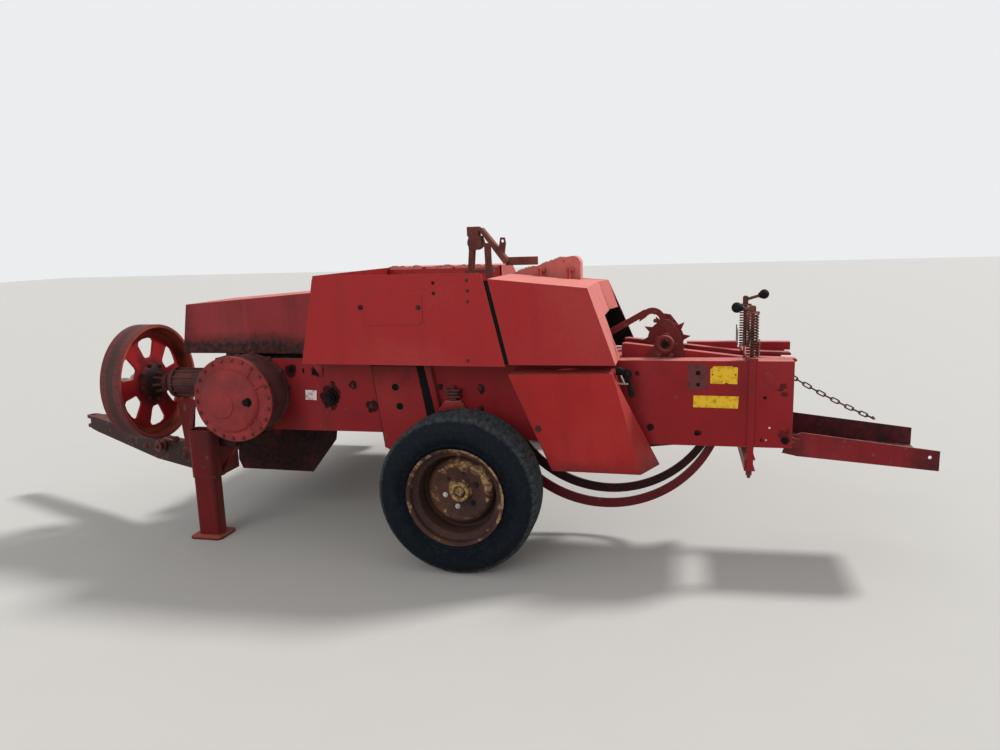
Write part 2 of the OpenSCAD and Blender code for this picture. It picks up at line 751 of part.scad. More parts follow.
// Foot of a needle, which its strut meets
needle_foot = needle_at(-22, needle_r);
root_x = needle_foot.x - 11;
strut_z0 = needle_foot.y - 21;
strut_z1 = needle_foot.y + 13;
module needle_yoke() at_origin() color(dark_red) {
    for (side = [-1, 1]) {
        y0 = side > 0 ? yoke_y0 : -yoke_y0 - yoke_t;
        difference() {
            union() {
                bar_y(45, pivot_x, pivot_z, y0, y0 + yoke_t);
                bar_y(30, yoke_x, yoke_z, y0, y0 + yoke_t);
                plate([[pivot_x - 36, pivot_z - 20], [pivot_x + 40, pivot_z + 10],
                    [yoke_x + 28, yoke_z + 8], [yoke_x - 24, yoke_z - 12]], y0, y0 + yoke_t);
            }
            bar_y(pivot_r + run, pivot_x, pivot_z, y0 - 1, y0 + yoke_t + 1);
        }
    }
    bar_y(yoke_r, yoke_x, yoke_z, -yoke_y0, yoke_y0);
    // struts back to the needle roots
    for (side = [-1, 1])
        plate([[yoke_x - 14, yoke_z - 12], [yoke_x + 14, yoke_z - 18], [root_x, strut_z0],
            [root_x, strut_z1], [yoke_x + 40, strut_z1 - 8], [yoke_x - 14, yoke_z + 12]],
            side * needle_gap / 2 - side * needle_t / 2 - (side > 0 ? 12 : 0),
            side * needle_gap / 2 - side * needle_t / 2 + (side > 0 ? 0 : 12));
}

module needles() at_origin() color(dark_red) for (side = [-1, 1]) {
    y0 = side * needle_gap / 2 - needle_t / 2;
    y1 = side * needle_gap / 2 + needle_t / 2;
    difference() {
        bar_y(needle_r + needle_h / 2, pivot_x, pivot_z, y0, y1, $fn = 240);
        // an inner edge set off centre makes the needle taper to its tip
        bar_y(needle_r - needle_h / 2 - 2, pivot_x + 7, pivot_z + 5, y0 - 1, y1 + 1, $fn = 240);
        // everything but the sector from the root behind to the tip ahead
        plate([[pivot_x, pivot_z], needle_at(-22, 900), needle_at(20, 900), needle_at(70, 900),
            needle_at(120, 900), needle_at(170, 900), needle_at(-158, 900)], y0 - 1, y1 + 1);
    }
}

function needle_at(a, r) = [pivot_x + r * cos(a), pivot_z + r * sin(a)];

// Feed deck, hood and packer

deck_y0 = wall_y;
deck_rear = -20;
module feed_deck() at_origin() color(dark_red) {
    block(-deck_front, deck_rear, deck_y0, deck_side_y, deck_z - deck_t, deck_z);
    block(deck_rear - 4, deck_rear, deck_y0, deck_side_y, deck_z, wall_top);
    plate([[-700, deck_z], [deck_rear - 4, deck_z], [deck_rear - 4, wall_top], [-400, wall_top]],
        deck_side_y - 4, deck_side_y);
}

module feed_hood() at_origin() color(red) difference() {
    intersection() {
        plate([[box_front_foot, box_foot], [deck_rear, box_foot], [deck_rear, box_top],
            [box_front_top, box_top]], box_far_y, hood_far_y);
        hood_side(0);
    }
    intersection() {
        plate([[box_front_foot + sheet_t, box_foot - 1], [deck_rear - sheet_t, box_foot - 1],
            [deck_rear - sheet_t, box_top - sheet_t], [box_front_top + sheet_t, box_top - sheet_t]],
            box_far_y - 1, hood_far_y - sheet_t);
        hood_side(sheet_t);
    }
}

// Side view of the hood across the machine, level and then falling
module hood_side(t)
    translate([-1000, 0, 0]) rotate([90, 0, 90]) linear_extrude(1200)
        polygon([[box_far_y - 2, box_foot - 2], [hood_far_y, box_foot - 2],
            [hood_far_y, hood_far_z - t], [box_far_y + 300, box_top - t],
            [box_far_y - 2, box_top - t]]);

packer_x = -400;
packer_z = 1060;
module packer() at_origin() color(rust) {
    packer_forks();
    packer_linkage();
}

module packer_forks() {
    bar_y(20, packer_x, packer_z, box_far_y, hood_far_y - sheet_t);
    for (y = [700, 1050, 1400], side = [-1, 1])
        plate([[packer_x - 22, packer_z], [packer_x + 22, packer_z], [packer_x + 40, 840],
            [packer_x - 10, 640], [packer_x - 26, 640], [packer_x, 840]],
            y + side * 40, y + side * 40 + 10);
}

// Linkage on two leaning legs: head block, bearing, sloping channel and its post
head_x = -74;
head_z = 1568;
linkage_y0 = 160;
linkage_y1 = 225;
module packer_linkage() {
    y0 = linkage_y0;
    y1 = linkage_y1;
    // head block over the bearing
    block(head_x - 31, head_x + 31, y0, y1, head_z + 35, head_z + 85);
    bar_y(40, head_x + 11, head_z, y0 - 8, y1 + 8);
    plate([[head_x - 26, head_z - 35], [head_x + 47, head_z - 24], [head_x + 47, head_z + 36],
        [head_x - 26, head_z + 36]], y0 + 4, y1 - 4);
    // legs on a sole plate that the post carries, clear of the twine below
    block(head_x - 50, 30, y0, y1, 1404, 1424);
    for (y = [y0, y1 - 12])
        plate([[head_x - 33, 1424], [head_x - 10, 1424],
            [head_x + 1, head_z - 20], [head_x - 22, head_z - 20]], y, y + 12);
    // channel, two webs under a top flange
    for (y = [y0, y1 - 5])
        plate([[head_x + 24, head_z + 80], [head_x + 50, head_z + 78], [122, 1466],
            [108, 1450], [94, 1450]], y, y + 5);
    plate([[head_x + 36, head_z + 70], [head_x + 50, head_z + 78], [122, 1466], [113, 1456]],
        y0 + 2, y1 - 2);
    // post beside the divider
    plate([[4, wall_top], [36, wall_top], [24, head_z - 8], [-12, head_z - 2]], y0, y0 + 14);
    // clevis and the pull bar that goes back over the drive cover
    difference() {
        plate([[60, 1520], [92, 1478], [104, 1560], [99, 1590], [74, 1592]], y0 + 24, y0 + 34);
        bar_y(8, 86, 1572, y0 + 23, y0 + 35);
    }
    block(102, 276, y0 + 20, y0 + 44, 1441, 1485);
}

// Axle, spindles and wheels

axle_z = left_tyre_r;
axle_left = -wall_y;
axle_right = right_face_y - right_tyre_w - 60;
module axle_beam() at_origin() color(dark_red)
    bar_y(axle_r, 0, axle_z, axle_left, axle_right);

plate_t = 12;
module axle_plates() at_origin() color(red) {
    left_axle_plate();
    right_axle_plate();
}

module left_axle_plate() difference() {
    plate([[-530, 955], [-280, 955], [-175, 760], [70, 440], [70, 330], [-70, 330],
        [-475, 520]], -wall_y - plate_t, -wall_y);
    for (hole = [[-405, 845, 19], [-385, 745, 19]])
        bar_y(hole[2], hole[0], hole[1], -wall_y - plate_t - 1, -wall_y + 1);
}

module right_axle_plate()
    for (place = [[wall_y, wall_bottom, wall_y - wall_t], [1500, deck_z - deck_t, 1500]])
        difference() {
            plate([[-160, place[1]], [deck_rear, place[1]], [70, axle_z], [70, axle_z - 20],
                [-70, axle_z - 20], [-70, axle_z]], place[2], place[2] + plate_t);
            bar_y(axle_r, 0, axle_z, place[2] - 1, place[2] + plate_t + 1);
        }

module spindles() at_origin() color(steel) {
    left_spindle();
    right_spindle();
}

module left_spindle() {
    bar_y(66, 0, axle_z, -wall_y - plate_t - 12, -wall_y - plate_t);
    bar_y(spindle_r, 0, axle_z, left_face_y + 130, -wall_y - plate_t - 12);
}

module right_spindle() {
    plate([[-60, right_tyre_r - 60], [60, right_tyre_r - 60], [60, axle_z + 50],
        [-60, axle_z + 50]], axle_right, axle_right + 20);
    bar_y(spindle_r, 0, right_tyre_r, axle_right + 20, right_face_y - 80);
}

// Half section of a tyre: rounded shoulders, four worn ribs, beads on the rim
module tyre(r, w, bead) rotate_extrude($fn = 64) {
    h = w / 2;
    polygon([[bead, -h + 40], [bead + 4, -h + 22], [bead + 16, -h + 14],
        [bead + 45, -h + 2], [r - 80, -h], [r - 38, -h + 10], [r - 12, -h + 26], [r, -h + 44],
        [r, -h + 62], [r - 8, -h + 64], [r - 8, -h + 70], [r, -h + 72],
        [r, -5], [r - 8, -3], [r - 8, 3], [r, 5],
        [r, h - 72], [r - 8, h - 70], [r - 8, h - 64], [r, h - 62],
        [r, h - 44], [r - 12, h - 26], [r - 38, h - 10], [r - 80, h], [bead + 45, h - 2],
        [bead + 16, h - 14], [bead + 4, h - 22], [bead, h - 40]]);
}

// Dropped-centre rim with a dished disc, a hub and its cap.
// The outer side is at +Z; the spindle's hole comes in from the inner side.
module rim(bead, w, disc_z, hub_back, cap_z, bore_end) difference() {
    h = w / 2;
    well = bead - 38;
    union() {
        // barrel with a bead seat and an upturned edge on both sides
        rotate_extrude($fn = 64) polygon([[bead - gap, 46 - h], [bead - gap, 24 - h], [bead + 10, 10 - h],
            [bead + 6, 6 - h], [bead - 8, 18 - h], [bead - 8, 44 - h], [well, 62 - h],
            [well, h - 62], [bead - 8, h - 44], [bead - 8, h - 18], [bead + 6, h - 6],
            [bead + 10, h - 10], [bead - gap, h - 24], [bead - gap, h - 46],
            [well + 8, h - 66], [well + 8, 66 - h]]);
        // dished disc
        rotate_extrude($fn = 64) polygon([[well + 4, disc_z + 6], [well + 4, disc_z - 6], [well - 22, disc_z - 10],
            [120, disc_z - 8], [96, disc_z - 30], [60, disc_z - 30], [60, disc_z - 20],
            [92, disc_z - 20], [112, disc_z + 4], [well - 22, disc_z + 2]]);
        // hub and its cap
        rotate_extrude($fn = 64) polygon([[0, hub_back], [72, hub_back], [72, disc_z - 12], [44, disc_z - 8],
            [40, cap_z - 8], [32, cap_z], [0, cap_z]]);
    }
    translate([0, 0, hub_back - 1]) cylinder(r = spindle_r + run, h = bore_end - hub_back + 1);
}

module left_wheel_place() translate([0, left_face_y + left_tyre_w / 2, axle_z])
    rotate([90, 0, 0]) children();
module right_wheel_place() translate([0, right_face_y - right_tyre_w / 2, right_tyre_r])
    rotate([-90, 0, 0]) children();

module left_tyre() at_origin() color(black)
    left_wheel_place() tyre(left_tyre_r, left_tyre_w, left_rim_r);
module right_tyre() at_origin() color(black)
    right_wheel_place() tyre(right_tyre_r, right_tyre_w, right_rim_r);

module left_rim() at_origin() color(rust) left_wheel_place()
    rim(left_rim_r, left_tyre_w, -10, -105, 36, 4);
module right_rim() at_origin() color(rust) right_wheel_place()
    rim(right_rim_r, right_tyre_w, -10, -75, 36, 14);

// Pickup

reel_x = -reel_ahead;
pickup_pivot_x = -1020;
pickup_pivot_z = 550;
pivot_pin_r = 14;
end_t = 6;
inner_y0 = pickup_y0 + end_t;
band_pitch = (pickup_y1 - inner_y0) / band_n;
tine_gap = 22;
pan_front = reel_x + tine_tip_r;
pan_rear = -deck_front - 6;
module pickup_frame() at_origin() color(dark_red) {
    for (y = [pickup_y0, pickup_y1]) difference() {
        profile(y, y + end_t) {
            polygon([[-1716, 250], [-1690, 190], [-1200, 186], [-1030, 400], [-1008, 530],
                [-1030, 575], [pan_rear + 4, 575], [pan_rear - 1, deck_z + 2], [-1250, 690],
                [-1560, 690], [-1700, 520]]);
            circle_at(pickup_pivot_x, pickup_pivot_z, 28);
        }
        bar_y(pivot_pin_r + run, pickup_pivot_x, pickup_pivot_z, y - 1, y + end_t + 1);
        bar_y(30 + run, reel_x, reel_z, y - 1, y + end_t + 1);
    }
    // stripper bands between the tine rows, each with a tail back to the pan
    for (i = [0:band_n - 1]) {
        y0 = inner_y0 + i * band_pitch + (i == 0 ? 0 : tine_gap / 2);
        y1 = inner_y0 + (i + 1) * band_pitch - (i == band_n - 1 ? 0 : tine_gap / 2);
        translate([reel_x, y1, reel_z]) rotate([90, 0, 0])
            rotate([0, 0, 30]) rotate_extrude(angle = 230, $fn = 48)
                translate([band_r - 3, 0]) square([3, y1 - y0]);
        plate([[reel_x + 177, reel_z + 110], [reel_x + 187, reel_z + 101],
            [pan_front + 12, deck_z - 6], [pan_front + 10, deck_z]], y0, y1);
    }
    // pan behind the reel, outside the circle of the tine tips
    block(pan_front, pan_rear, inner_y0, pickup_y1, deck_z - 8, deck_z);
    windguard();
}

// Windguard: a tube on two arms that stand outside the end plates, with rods
// that trail back over the tines
guard_x = reel_x - 40;
guard_z = reel_z + tine_tip_r + 45;
guard_rods = 12;
module windguard() {
    guard_y0 = pickup_y0 - gap - end_t;
    guard_y1 = pickup_y1 + end_t + gap;
    for (y = [guard_y0, guard_y1])
        plate([[guard_x - 20, 600], [guard_x + 20, 600], [guard_x + 14, guard_z],
            [guard_x - 14, guard_z]], y, y + end_t);
    bar_y(14, guard_x, guard_z, guard_y0, guard_y1 + end_t);
    for (i = [0:guard_rods - 1]) {
        y = inner_y0 + 40 + i * (pickup_y1 - inner_y0 - 80) / (guard_rods - 1);
        rod([guard_x, y, guard_z], [guard_x + 190, y, guard_z + 14], 6);
        rod([guard_x + 186, y, guard_z + 14], [guard_x + 330, y, guard_z - 52], 6);
    }
}

module pickup_pivots() at_origin() color(dark_red) {
    for (place = [[pickup_y0 - 22, pickup_y0 - 10, pickup_y0 + end_t + 6],
        [pickup_y1 + end_t + 22, pickup_y1 + end_t + 10, pickup_y1 - 6]]) {
        lo = min(place[0], place[1]);
        block(pickup_pivot_x - 20, pickup_pivot_x + 40, lo, lo + 12,
            pickup_pivot_z - 20, deck_z - deck_t);
        bar_y(pivot_pin_r, pickup_pivot_x, pickup_pivot_z, min(place[1], place[2]),
            max(place[1], place[2]));
    }
}

tine_bar_r = 150;
module pickup_reel() at_origin() color(steel) translate([reel_x, 0, reel_z]) {
    bar_y(30, 0, 0, pickup_y0 - 10, pickup_y1 + end_t + 10);
    for (y = [inner_y0 + 20, (inner_y0 + pickup_y1) / 2, pickup_y1 - 26])
        bar_y(tine_bar_r + 18, 0, 0, y, y + 6);
    for (i = [0:tine_bars - 1]) rotate([0, i * 360 / tine_bars + 20, 0]) {
        bar_y(14, tine_bar_r, 0, inner_y0 + 10, pickup_y1 - 10);
        for (k = [1:band_n - 1]) {
            y = inner_y0 + k * band_pitch;
            bar_x(3.5, y, 0, tine_bar_r, tine_tip_r);
        }
    }
}

// Drawbar with its mount, and the stand

pin_x = -drawbar_ahead;
mount_x0 = pin_x - 50;
pin_r = 18;
foot_plate_t = 12;
mount_foot = foot_plate_t + stand_lift + 8;
mount_top = 482;
module drawbar_mount() at_origin() color(dark_red) {
    stand_brace();
    block(-plate_front, -plate_rear, -262, -60, mount_foot, beam_z0);
    block(mount_x0, -plate_front, -262, -120, mount_foot, mount_foot + 12);
    block(min(mount_x0 - 80, pinion_end + 50), -plate_front, -262, -120,
        mount_top - 12, mount_top);
    bar_z(pin_r, pin_x, drawbar_y, mount_foot + 12, mount_top - 12);
    // leaning plate under the pinion housing, with a strip welded across it
    plate([[pinion_end + 100, mount_top], [pinion_end + 50, mount_top],
        [pinion_end + 25, fly_z - pinion_r - 18], [pinion_end + 140, fly_z - pinion_r - 18]],
        fly_y - 50, fly_y - 42);
    plate([[pinion_end + 62, mount_top], [pinion_end + 84, mount_top],
        [pinion_end + 150, fly_z - pinion_r - 24], [pinion_end + 128, fly_z - pinion_r - 24]],
        fly_y - 58, fly_y - 50);
}

bar_w = 45;
module drawbar() at_origin() color(dark_red)
    translate([pin_x, drawbar_y, 0]) rotate([0, 0, -drawbar_angle]) difference() {
        union() {
            plate([[0, 338], [0, 464], [-520, 464], [-drawbar_len + 130, hitch_z + 44],
                [-drawbar_len + 50, hitch_z + 40], [-drawbar_len + 50, hitch_z - 40],
                [-drawbar_len + 130, hitch_z - 52], [-520, 338]], -bar_w, bar_w);
            bar_z(bar_w, 0, 0, 338, 464);
            for (z = [hitch_z - 40, hitch_z + 22]) {
                block(-drawbar_len, -drawbar_len + 60, -hitch_ear_r, hitch_ear_r, z, z + 18);
                bar_z(hitch_ear_r, -drawbar_len, 0, z, z + 18);
            }
        }
        bar_z(pin_r + run, 0, 0, 300, 500);
        bar_z(hitch_r, -drawbar_len, 0, hitch_z - 60, hitch_z + 60);
    }

sleeve_l = 150;
sleeve_w = 90;
sleeve_round = 28;
sleeve_t = 6;
// Upright tube with round corners round the stand, smaller by an inset
module upright(inset, z0, z1)
    translate([pin_x - 29 + inset, sleeve_y1 - sleeve_w + inset, z0]) linear_extrude(z1 - z0)
        offset_box(sleeve_l - 2 * inset, sleeve_w - 2 * inset, sleeve_round - inset);

module stand_sleeve() at_origin() color(red) difference() {
    upright(0, mount_foot + 20, 610);
    upright(sleeve_t, mount_foot + 19, 611);
}

leg_gap = 0.5;
// the leg stays under the gearbox's neck when it is raised
leg_top = fly_z - neck_half - 10 - stand_lift;
module stand_leg() at_origin() color(dark_red) {
    upright(sleeve_t + leg_gap, foot_plate_t, leg_top);
    translate([pin_x - 50, sleeve_y1 - 130, 0]) linear_extrude(foot_plate_t)
        offset_box(192, 170, 30);
}

// Round brace from under the lower beam down to the drawbar's mount
module stand_brace() {
    y = sleeve_y1 + 29;
    block(-beam_rear - 28, -beam_rear - 2, y - 11, y + 11, beam_z0 - 14, beam_z0);
    rod([-beam_rear - 12, y, beam_z0 - 8], [-plate_rear + 6, y, mount_foot + 25], 12);
    block(-plate_rear, -plate_rear + 18, y - 14, y + 14, mount_foot + 6, mount_foot + 44);
}

// Chute with its hinges and chain

chute_front_z = 600;
module chute() at_origin() color(dark_red) difference() {
    union() {
        for (side = [-1, 1])
            plate([[chute_hinge_x - 55, 552], [chute_hinge_x - 30, chute_front_z + 30],
                [chute_hinge_x + 30, chute_front_z + 52], [chute_rear, 582],
                [chute_rear, 489], [chute_hinge_x + 10, 538]],
                side > 0 ? chute_y - 5 : -chute_y, side > 0 ? chute_y : -chute_y + 5);
        plate([[chute_hinge_x + 10, 538], [chute_rear, 489], [chute_rear, 494],
            [chute_hinge_x + 10, 543]], -chute_y + 5, chute_y - 5);
    }
    bar_y(10 + run, chute_hinge_x, chute_front_z, -chute_y - 1, chute_y + 1);
    bar_y(8, chute_rear - 40, 552, -chute_y - 1, -chute_y + 6);
}

module chute_hinges() at_origin() color(rust) for (side = [-1, 1]) {
    y0 = side > 0 ? chute_y + 3 : -in_y;
    y1 = side > 0 ? in_y : -chute_y - 3;
    plate([[chamber_rear - 34, wall_bottom], [chute_hinge_x + 22, wall_bottom],
        [chute_hinge_x + 22, chute_front_z + 22], [chamber_rear - 34, chute_front_z + 40]], y0, y1);
    bar_y(10, chute_hinge_x, chute_front_z, side > 0 ? chute_y - 14 : -in_y,
        side > 0 ? in_y : -chute_y + 14);
}

chain_lug_t = 6;
chain_from = [chamber_rear - 15, wall_y + chain_lug_t + 10, 880];
chain_to = [1990, chute_y + 20, 622];
chain_links = 14;
chain_sag = 15;
chain_bolt_r = 4.5;
link_r = 3.5;
module chute_chain() at_origin() color(rust) {
    way = chain_to - chain_from;
    over = way / norm(way) * (chain_bolt_r + 2 * gap);
    // the end links hook over the bolts, so the joints start behind the first
    joints = [for (i = [0:chain_links]) let (s = i / chain_links)
        chain_from - over + (way + 2 * over) * s - [0, 0, 4 * chain_sag * s * (1 - s)]];
    for (i = [0:chain_links - 1]) chain_link(joints[i], joints[i + 1], i % 2);
    // bolt on the wall's lug, and the stud beside the chute
    chain_bolt(chain_from, wall_y + chain_lug_t);
    chain_bolt(chain_to, chute_y + gap);
}

module chain_bolt(place, y0) {
    bar_y(chain_bolt_r, place.x, place.z, y0, place.y + link_r + 6);
    bar_y(chain_bolt_r + 4, place.x, place.z, place.y + link_r + 1, place.y + link_r + 6);
}

// Long link between two joints, upright or lying flat
module chain_link(a, b, flat) {
    d = b - a;
    r = 9;
    half = norm(d) / 2 + gap / 2 + link_r - r;
    translate((a + b) / 2) rotate([0, -atan2(d.z, norm([d.x, d.y])), atan2(d.y, d.x)])
        rotate([flat ? 0 : 90, 0, 0])
            ring([for (end = [0, 180], t = [-90:45:90])
                [(end == 0 ? half : -half) + r * cos(end + t), r * sin(end + t), 0]], link_r);
}

// Closed ring of six-sided wire along points that lie in the X-Y plane
module ring(path, r) {
    n = len(path);
    sides = 6;
    points = [for (i = [0:n - 1], k = [0:sides - 1])
        let (d = path[(i + 1) % n] - path[(i + n - 1) % n], out = [d.y, -d.x, 0] / norm(d))
        path[i] + r * (cos(k * 60) * out + [0, 0, sin(k * 60)])];
    faces = [for (i = [0:n - 1], k = [0:sides - 1])
        let (a = i * sides, b = (i + 1) % n * sides, m = (k + 1) % sides)
        [a + m, b + m, b + k, a + k]];
    polyhedron(points = points, faces = faces, convexity = 4);
}

left_wall();
right_wall();
chamber_floor();
chamber_roof();
front_frame();
tension_rails();
tension_frame();
tension_springs();
tension_screws();
star_bracket();
star_wheel();
crank_cover();
gearbox_housing();
gearbox_cover();
flywheel();
pto_shaft();
plunger();
twine_box();
knotter_cover();
drive_cover();
lower_shield();
knotters();
needle_pivots();
needle_yoke();
needles();
feed_deck();
feed_hood();
packer();
axle_beam();
axle_plates();
spindles();
left_rim();
left_tyre();
right_rim();
right_tyre();
pickup_frame();
pickup_pivots();
pickup_reel();
drawbar_mount();
drawbar();
stand_sleeve();
stand_leg();
chute();
chute_hinges();
chute_chain();
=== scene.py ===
# %% [markdown]
# # A small square baler, worn by years of hay
# The machine arrives as plain solids: walls, shields, gearbox, wheels, pickup.
# This lesson dresses them. Each step names a piece or a finish of the real
# baler, says how Blender could make it and why one way was chosen.

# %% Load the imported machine
import bpy, bmesh, math, random
from mathutils import Matrix, Vector


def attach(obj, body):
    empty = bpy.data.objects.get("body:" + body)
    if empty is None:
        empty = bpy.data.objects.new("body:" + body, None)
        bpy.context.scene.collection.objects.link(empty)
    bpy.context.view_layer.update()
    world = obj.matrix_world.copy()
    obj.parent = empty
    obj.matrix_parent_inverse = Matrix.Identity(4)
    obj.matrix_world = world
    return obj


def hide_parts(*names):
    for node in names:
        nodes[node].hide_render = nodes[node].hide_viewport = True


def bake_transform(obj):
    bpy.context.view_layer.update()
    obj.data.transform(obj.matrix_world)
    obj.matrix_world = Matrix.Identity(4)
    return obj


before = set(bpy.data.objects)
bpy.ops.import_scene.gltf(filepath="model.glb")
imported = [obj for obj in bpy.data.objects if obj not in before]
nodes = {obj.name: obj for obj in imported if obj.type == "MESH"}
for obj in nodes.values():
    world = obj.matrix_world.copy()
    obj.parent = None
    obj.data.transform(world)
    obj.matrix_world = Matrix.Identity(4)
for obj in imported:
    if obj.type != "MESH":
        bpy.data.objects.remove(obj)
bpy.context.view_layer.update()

# %% [markdown]
# The solids were drawn with the wheel axle at x = 0 and the bale chamber's
# middle at y = 0. A baler is easiest to think about that way, so one helper
# turns such a place into the part's own frame, whose origin is under the
# middle of the outline.

# %% Places in the machine's frame
middle_of_outline = Vector((-0.35598, 0.680, 0.0))

def at(x, y, z):
    return Vector((x, y, z)) - middle_of_outline

# %% [markdown]
# ## Camera and studio
# The photograph was taken from the machine's left rear quarter, a little over
# head height, with a wide lens. The camera's axes are written down as three
# directions, because they were solved from the picture's vanishing points.

# %% Camera
camera = bpy.data.objects.new("camera", bpy.data.cameras.new("camera"))
bpy.context.scene.collection.objects.link(camera)
bpy.context.scene.camera = camera
camera.data.sensor_width = 36.0
camera.data.lens = 27.04
camera.data.clip_start, camera.data.clip_end = 0.05, 200.0
ahead = Vector((-0.229842, 0.957361, -0.175019)).normalized()
right = ahead.cross(Vector((-0.010320, 0.177426, 0.984080))).normalized()
over = right.cross(ahead)
camera.matrix_world = Matrix.Translation(at(1.013777, -3.834205, 1.57)) @ Matrix(
    (right, over, -ahead)).transposed().to_4x4()
print("camera looks along", [round(v, 3) for v in ahead])

# %% [markdown]
# A grey sky gives most of the light. One broad lamp behind the machine stands
# for the low sun that pales its upper faces, and one behind the camera keeps
# the near side readable. A colour then renders about as it is written.

# %% Light
scene = bpy.context.scene
scene.view_settings.view_transform = "Standard"

def sun(name, direction, strength, spread):
    lamp = bpy.data.objects.new(name, bpy.data.lights.new(name, "SUN"))
    scene.collection.objects.link(lamp)
    lamp.data.energy = strength
    lamp.data.angle = math.radians(spread)
    lamp.rotation_mode = "QUATERNION"
    lamp.rotation_quaternion = Vector(direction).to_track_quat("-Z", "Y")

sun("low_sun", (-0.55, -0.42, -0.72), 3.1, 9)
sun("front_fill", (0.30, 0.90, -0.45), 0.9, 40)

# %% [markdown]
# ## Building finishes
# A finish is a small graph of nodes. A few helpers keep the graphs short: one
# makes a node with its settings and inputs, others mix two colours, do a sum
# or tell how far a point is from an axle. Each finish starts from an empty
# graph and ends with the same three nodes: bump, shader and output.

# %% Node helpers
def add(tree, kind, inputs=None, **settings):
    n = tree.nodes.new(kind)
    for key, value in settings.items():
        setattr(n, key, value)
    for key, value in (inputs or {}).items():
        if isinstance(value, bpy.types.NodeSocket):
            tree.links.new(value, n.inputs[key])
        else:
            n.inputs[key].default_value = value
    return n

def mixed(tree, amount, first, second):
    n = add(tree, "ShaderNodeMix", data_type="RGBA")
    for socket, value in ((n.inputs[0], amount), (n.inputs[6], first), (n.inputs[7], second)):
        if isinstance(value, bpy.types.NodeSocket):
            tree.links.new(value, socket)
        elif isinstance(value, tuple):
            socket.default_value = (*value, 1.0)
        else:
            socket.default_value = value
    return n.outputs[2]

def ramp(tree, value, low, high):
    return add(tree, "ShaderNodeMapRange",
               {"Value": value, "From Min": low, "From Max": high}).outputs["Result"]

def ranged(tree, value, least, most):
    return add(tree, "ShaderNodeMapRange",
               {"Value": value, "To Min": least, "To Max": most}).outputs["Result"]

def alike(tree, one, other):
    return add(tree, "ShaderNodeVectorMath", {0: one, 1: other}, operation="DOT_PRODUCT").outputs["Value"]

def maths(operation):
    def sum_node(tree, a, b=0.0):
        return add(tree, "ShaderNodeMath", {0: a, 1: b}, operation=operation).outputs[0]
    return sum_node

plus, minus, times, divided = maths("ADD"), maths("SUBTRACT"), maths("MULTIPLY"), maths("DIVIDE")
larger, size_of, root_of = maths("MAXIMUM"), maths("ABSOLUTE"), maths("SQRT")

def noise(tree, place, scale, detail=3.0, stretch=(1, 1, 1), offset=(0, 0, 0)):
    moved = add(tree, "ShaderNodeMapping", {"Vector": place, "Scale": stretch, "Location": offset})
    return add(tree, "ShaderNodeTexNoise",
               {"Vector": moved.outputs[0], "Scale": scale, "Detail": detail}).outputs[0]

def centred_noise(tree, value, reach):
    return times(tree, minus(tree, value, 0.5), reach)

def round_axle(tree, place, axle, first="X"):
    centred = add(tree, "ShaderNodeMapping", {"Vector": place,
                                              "Location": tuple(-v for v in axle)}).outputs[0]
    axes = add(tree, "ShaderNodeSeparateXYZ", {0: centred}).outputs
    squares = plus(tree, times(tree, axes[first], axes[first]), times(tree, axes["Z"], axes["Z"]))
    return centred, axes, root_of(tree, squares)

def fresh_material(name):
    material = bpy.data.materials.new(name)
    material.use_nodes = True
    material.node_tree.nodes.clear()
    return material, material.node_tree

def surface(material, colour, rough, height, strength, depth, gloss=0.5, metal=0.0):
    tree = material.node_tree
    bump = add(tree, "ShaderNodeBump", {"Strength": strength, "Distance": depth, "Height": height})
    shader = add(tree, "ShaderNodeBsdfPrincipled",
                 {"Base Color": colour, "Roughness": rough, "Specular IOR Level": gloss,
                  "Metallic": metal, "Normal": bump.outputs[0]})
    add(tree, "ShaderNodeOutputMaterial", {"Surface": shader.outputs[0]})
    return material

# %% [markdown]
# ## Weathered paint
# Old enamel is never one colour. On faces turned to the sun it pales, partly
# bleached and partly painted sunlight; rain draws streaks down it, it chips to
# rust along the edges of the sheet, and grease and mud stain it from below. An
# image could show that, but noise on Object coordinates fits any size of plate
# and has no seams, so one function paints every painted piece. A row in
# `soil_and_shade_rows` names an axis of the part's frame, the place where the sheet
# is still clean, the place where it is black, and how black it gets: some rows are grease and mud, some
# are painted shade.

# %% Weathered paint
sunlit = (0.50, 0.20, 0.84)

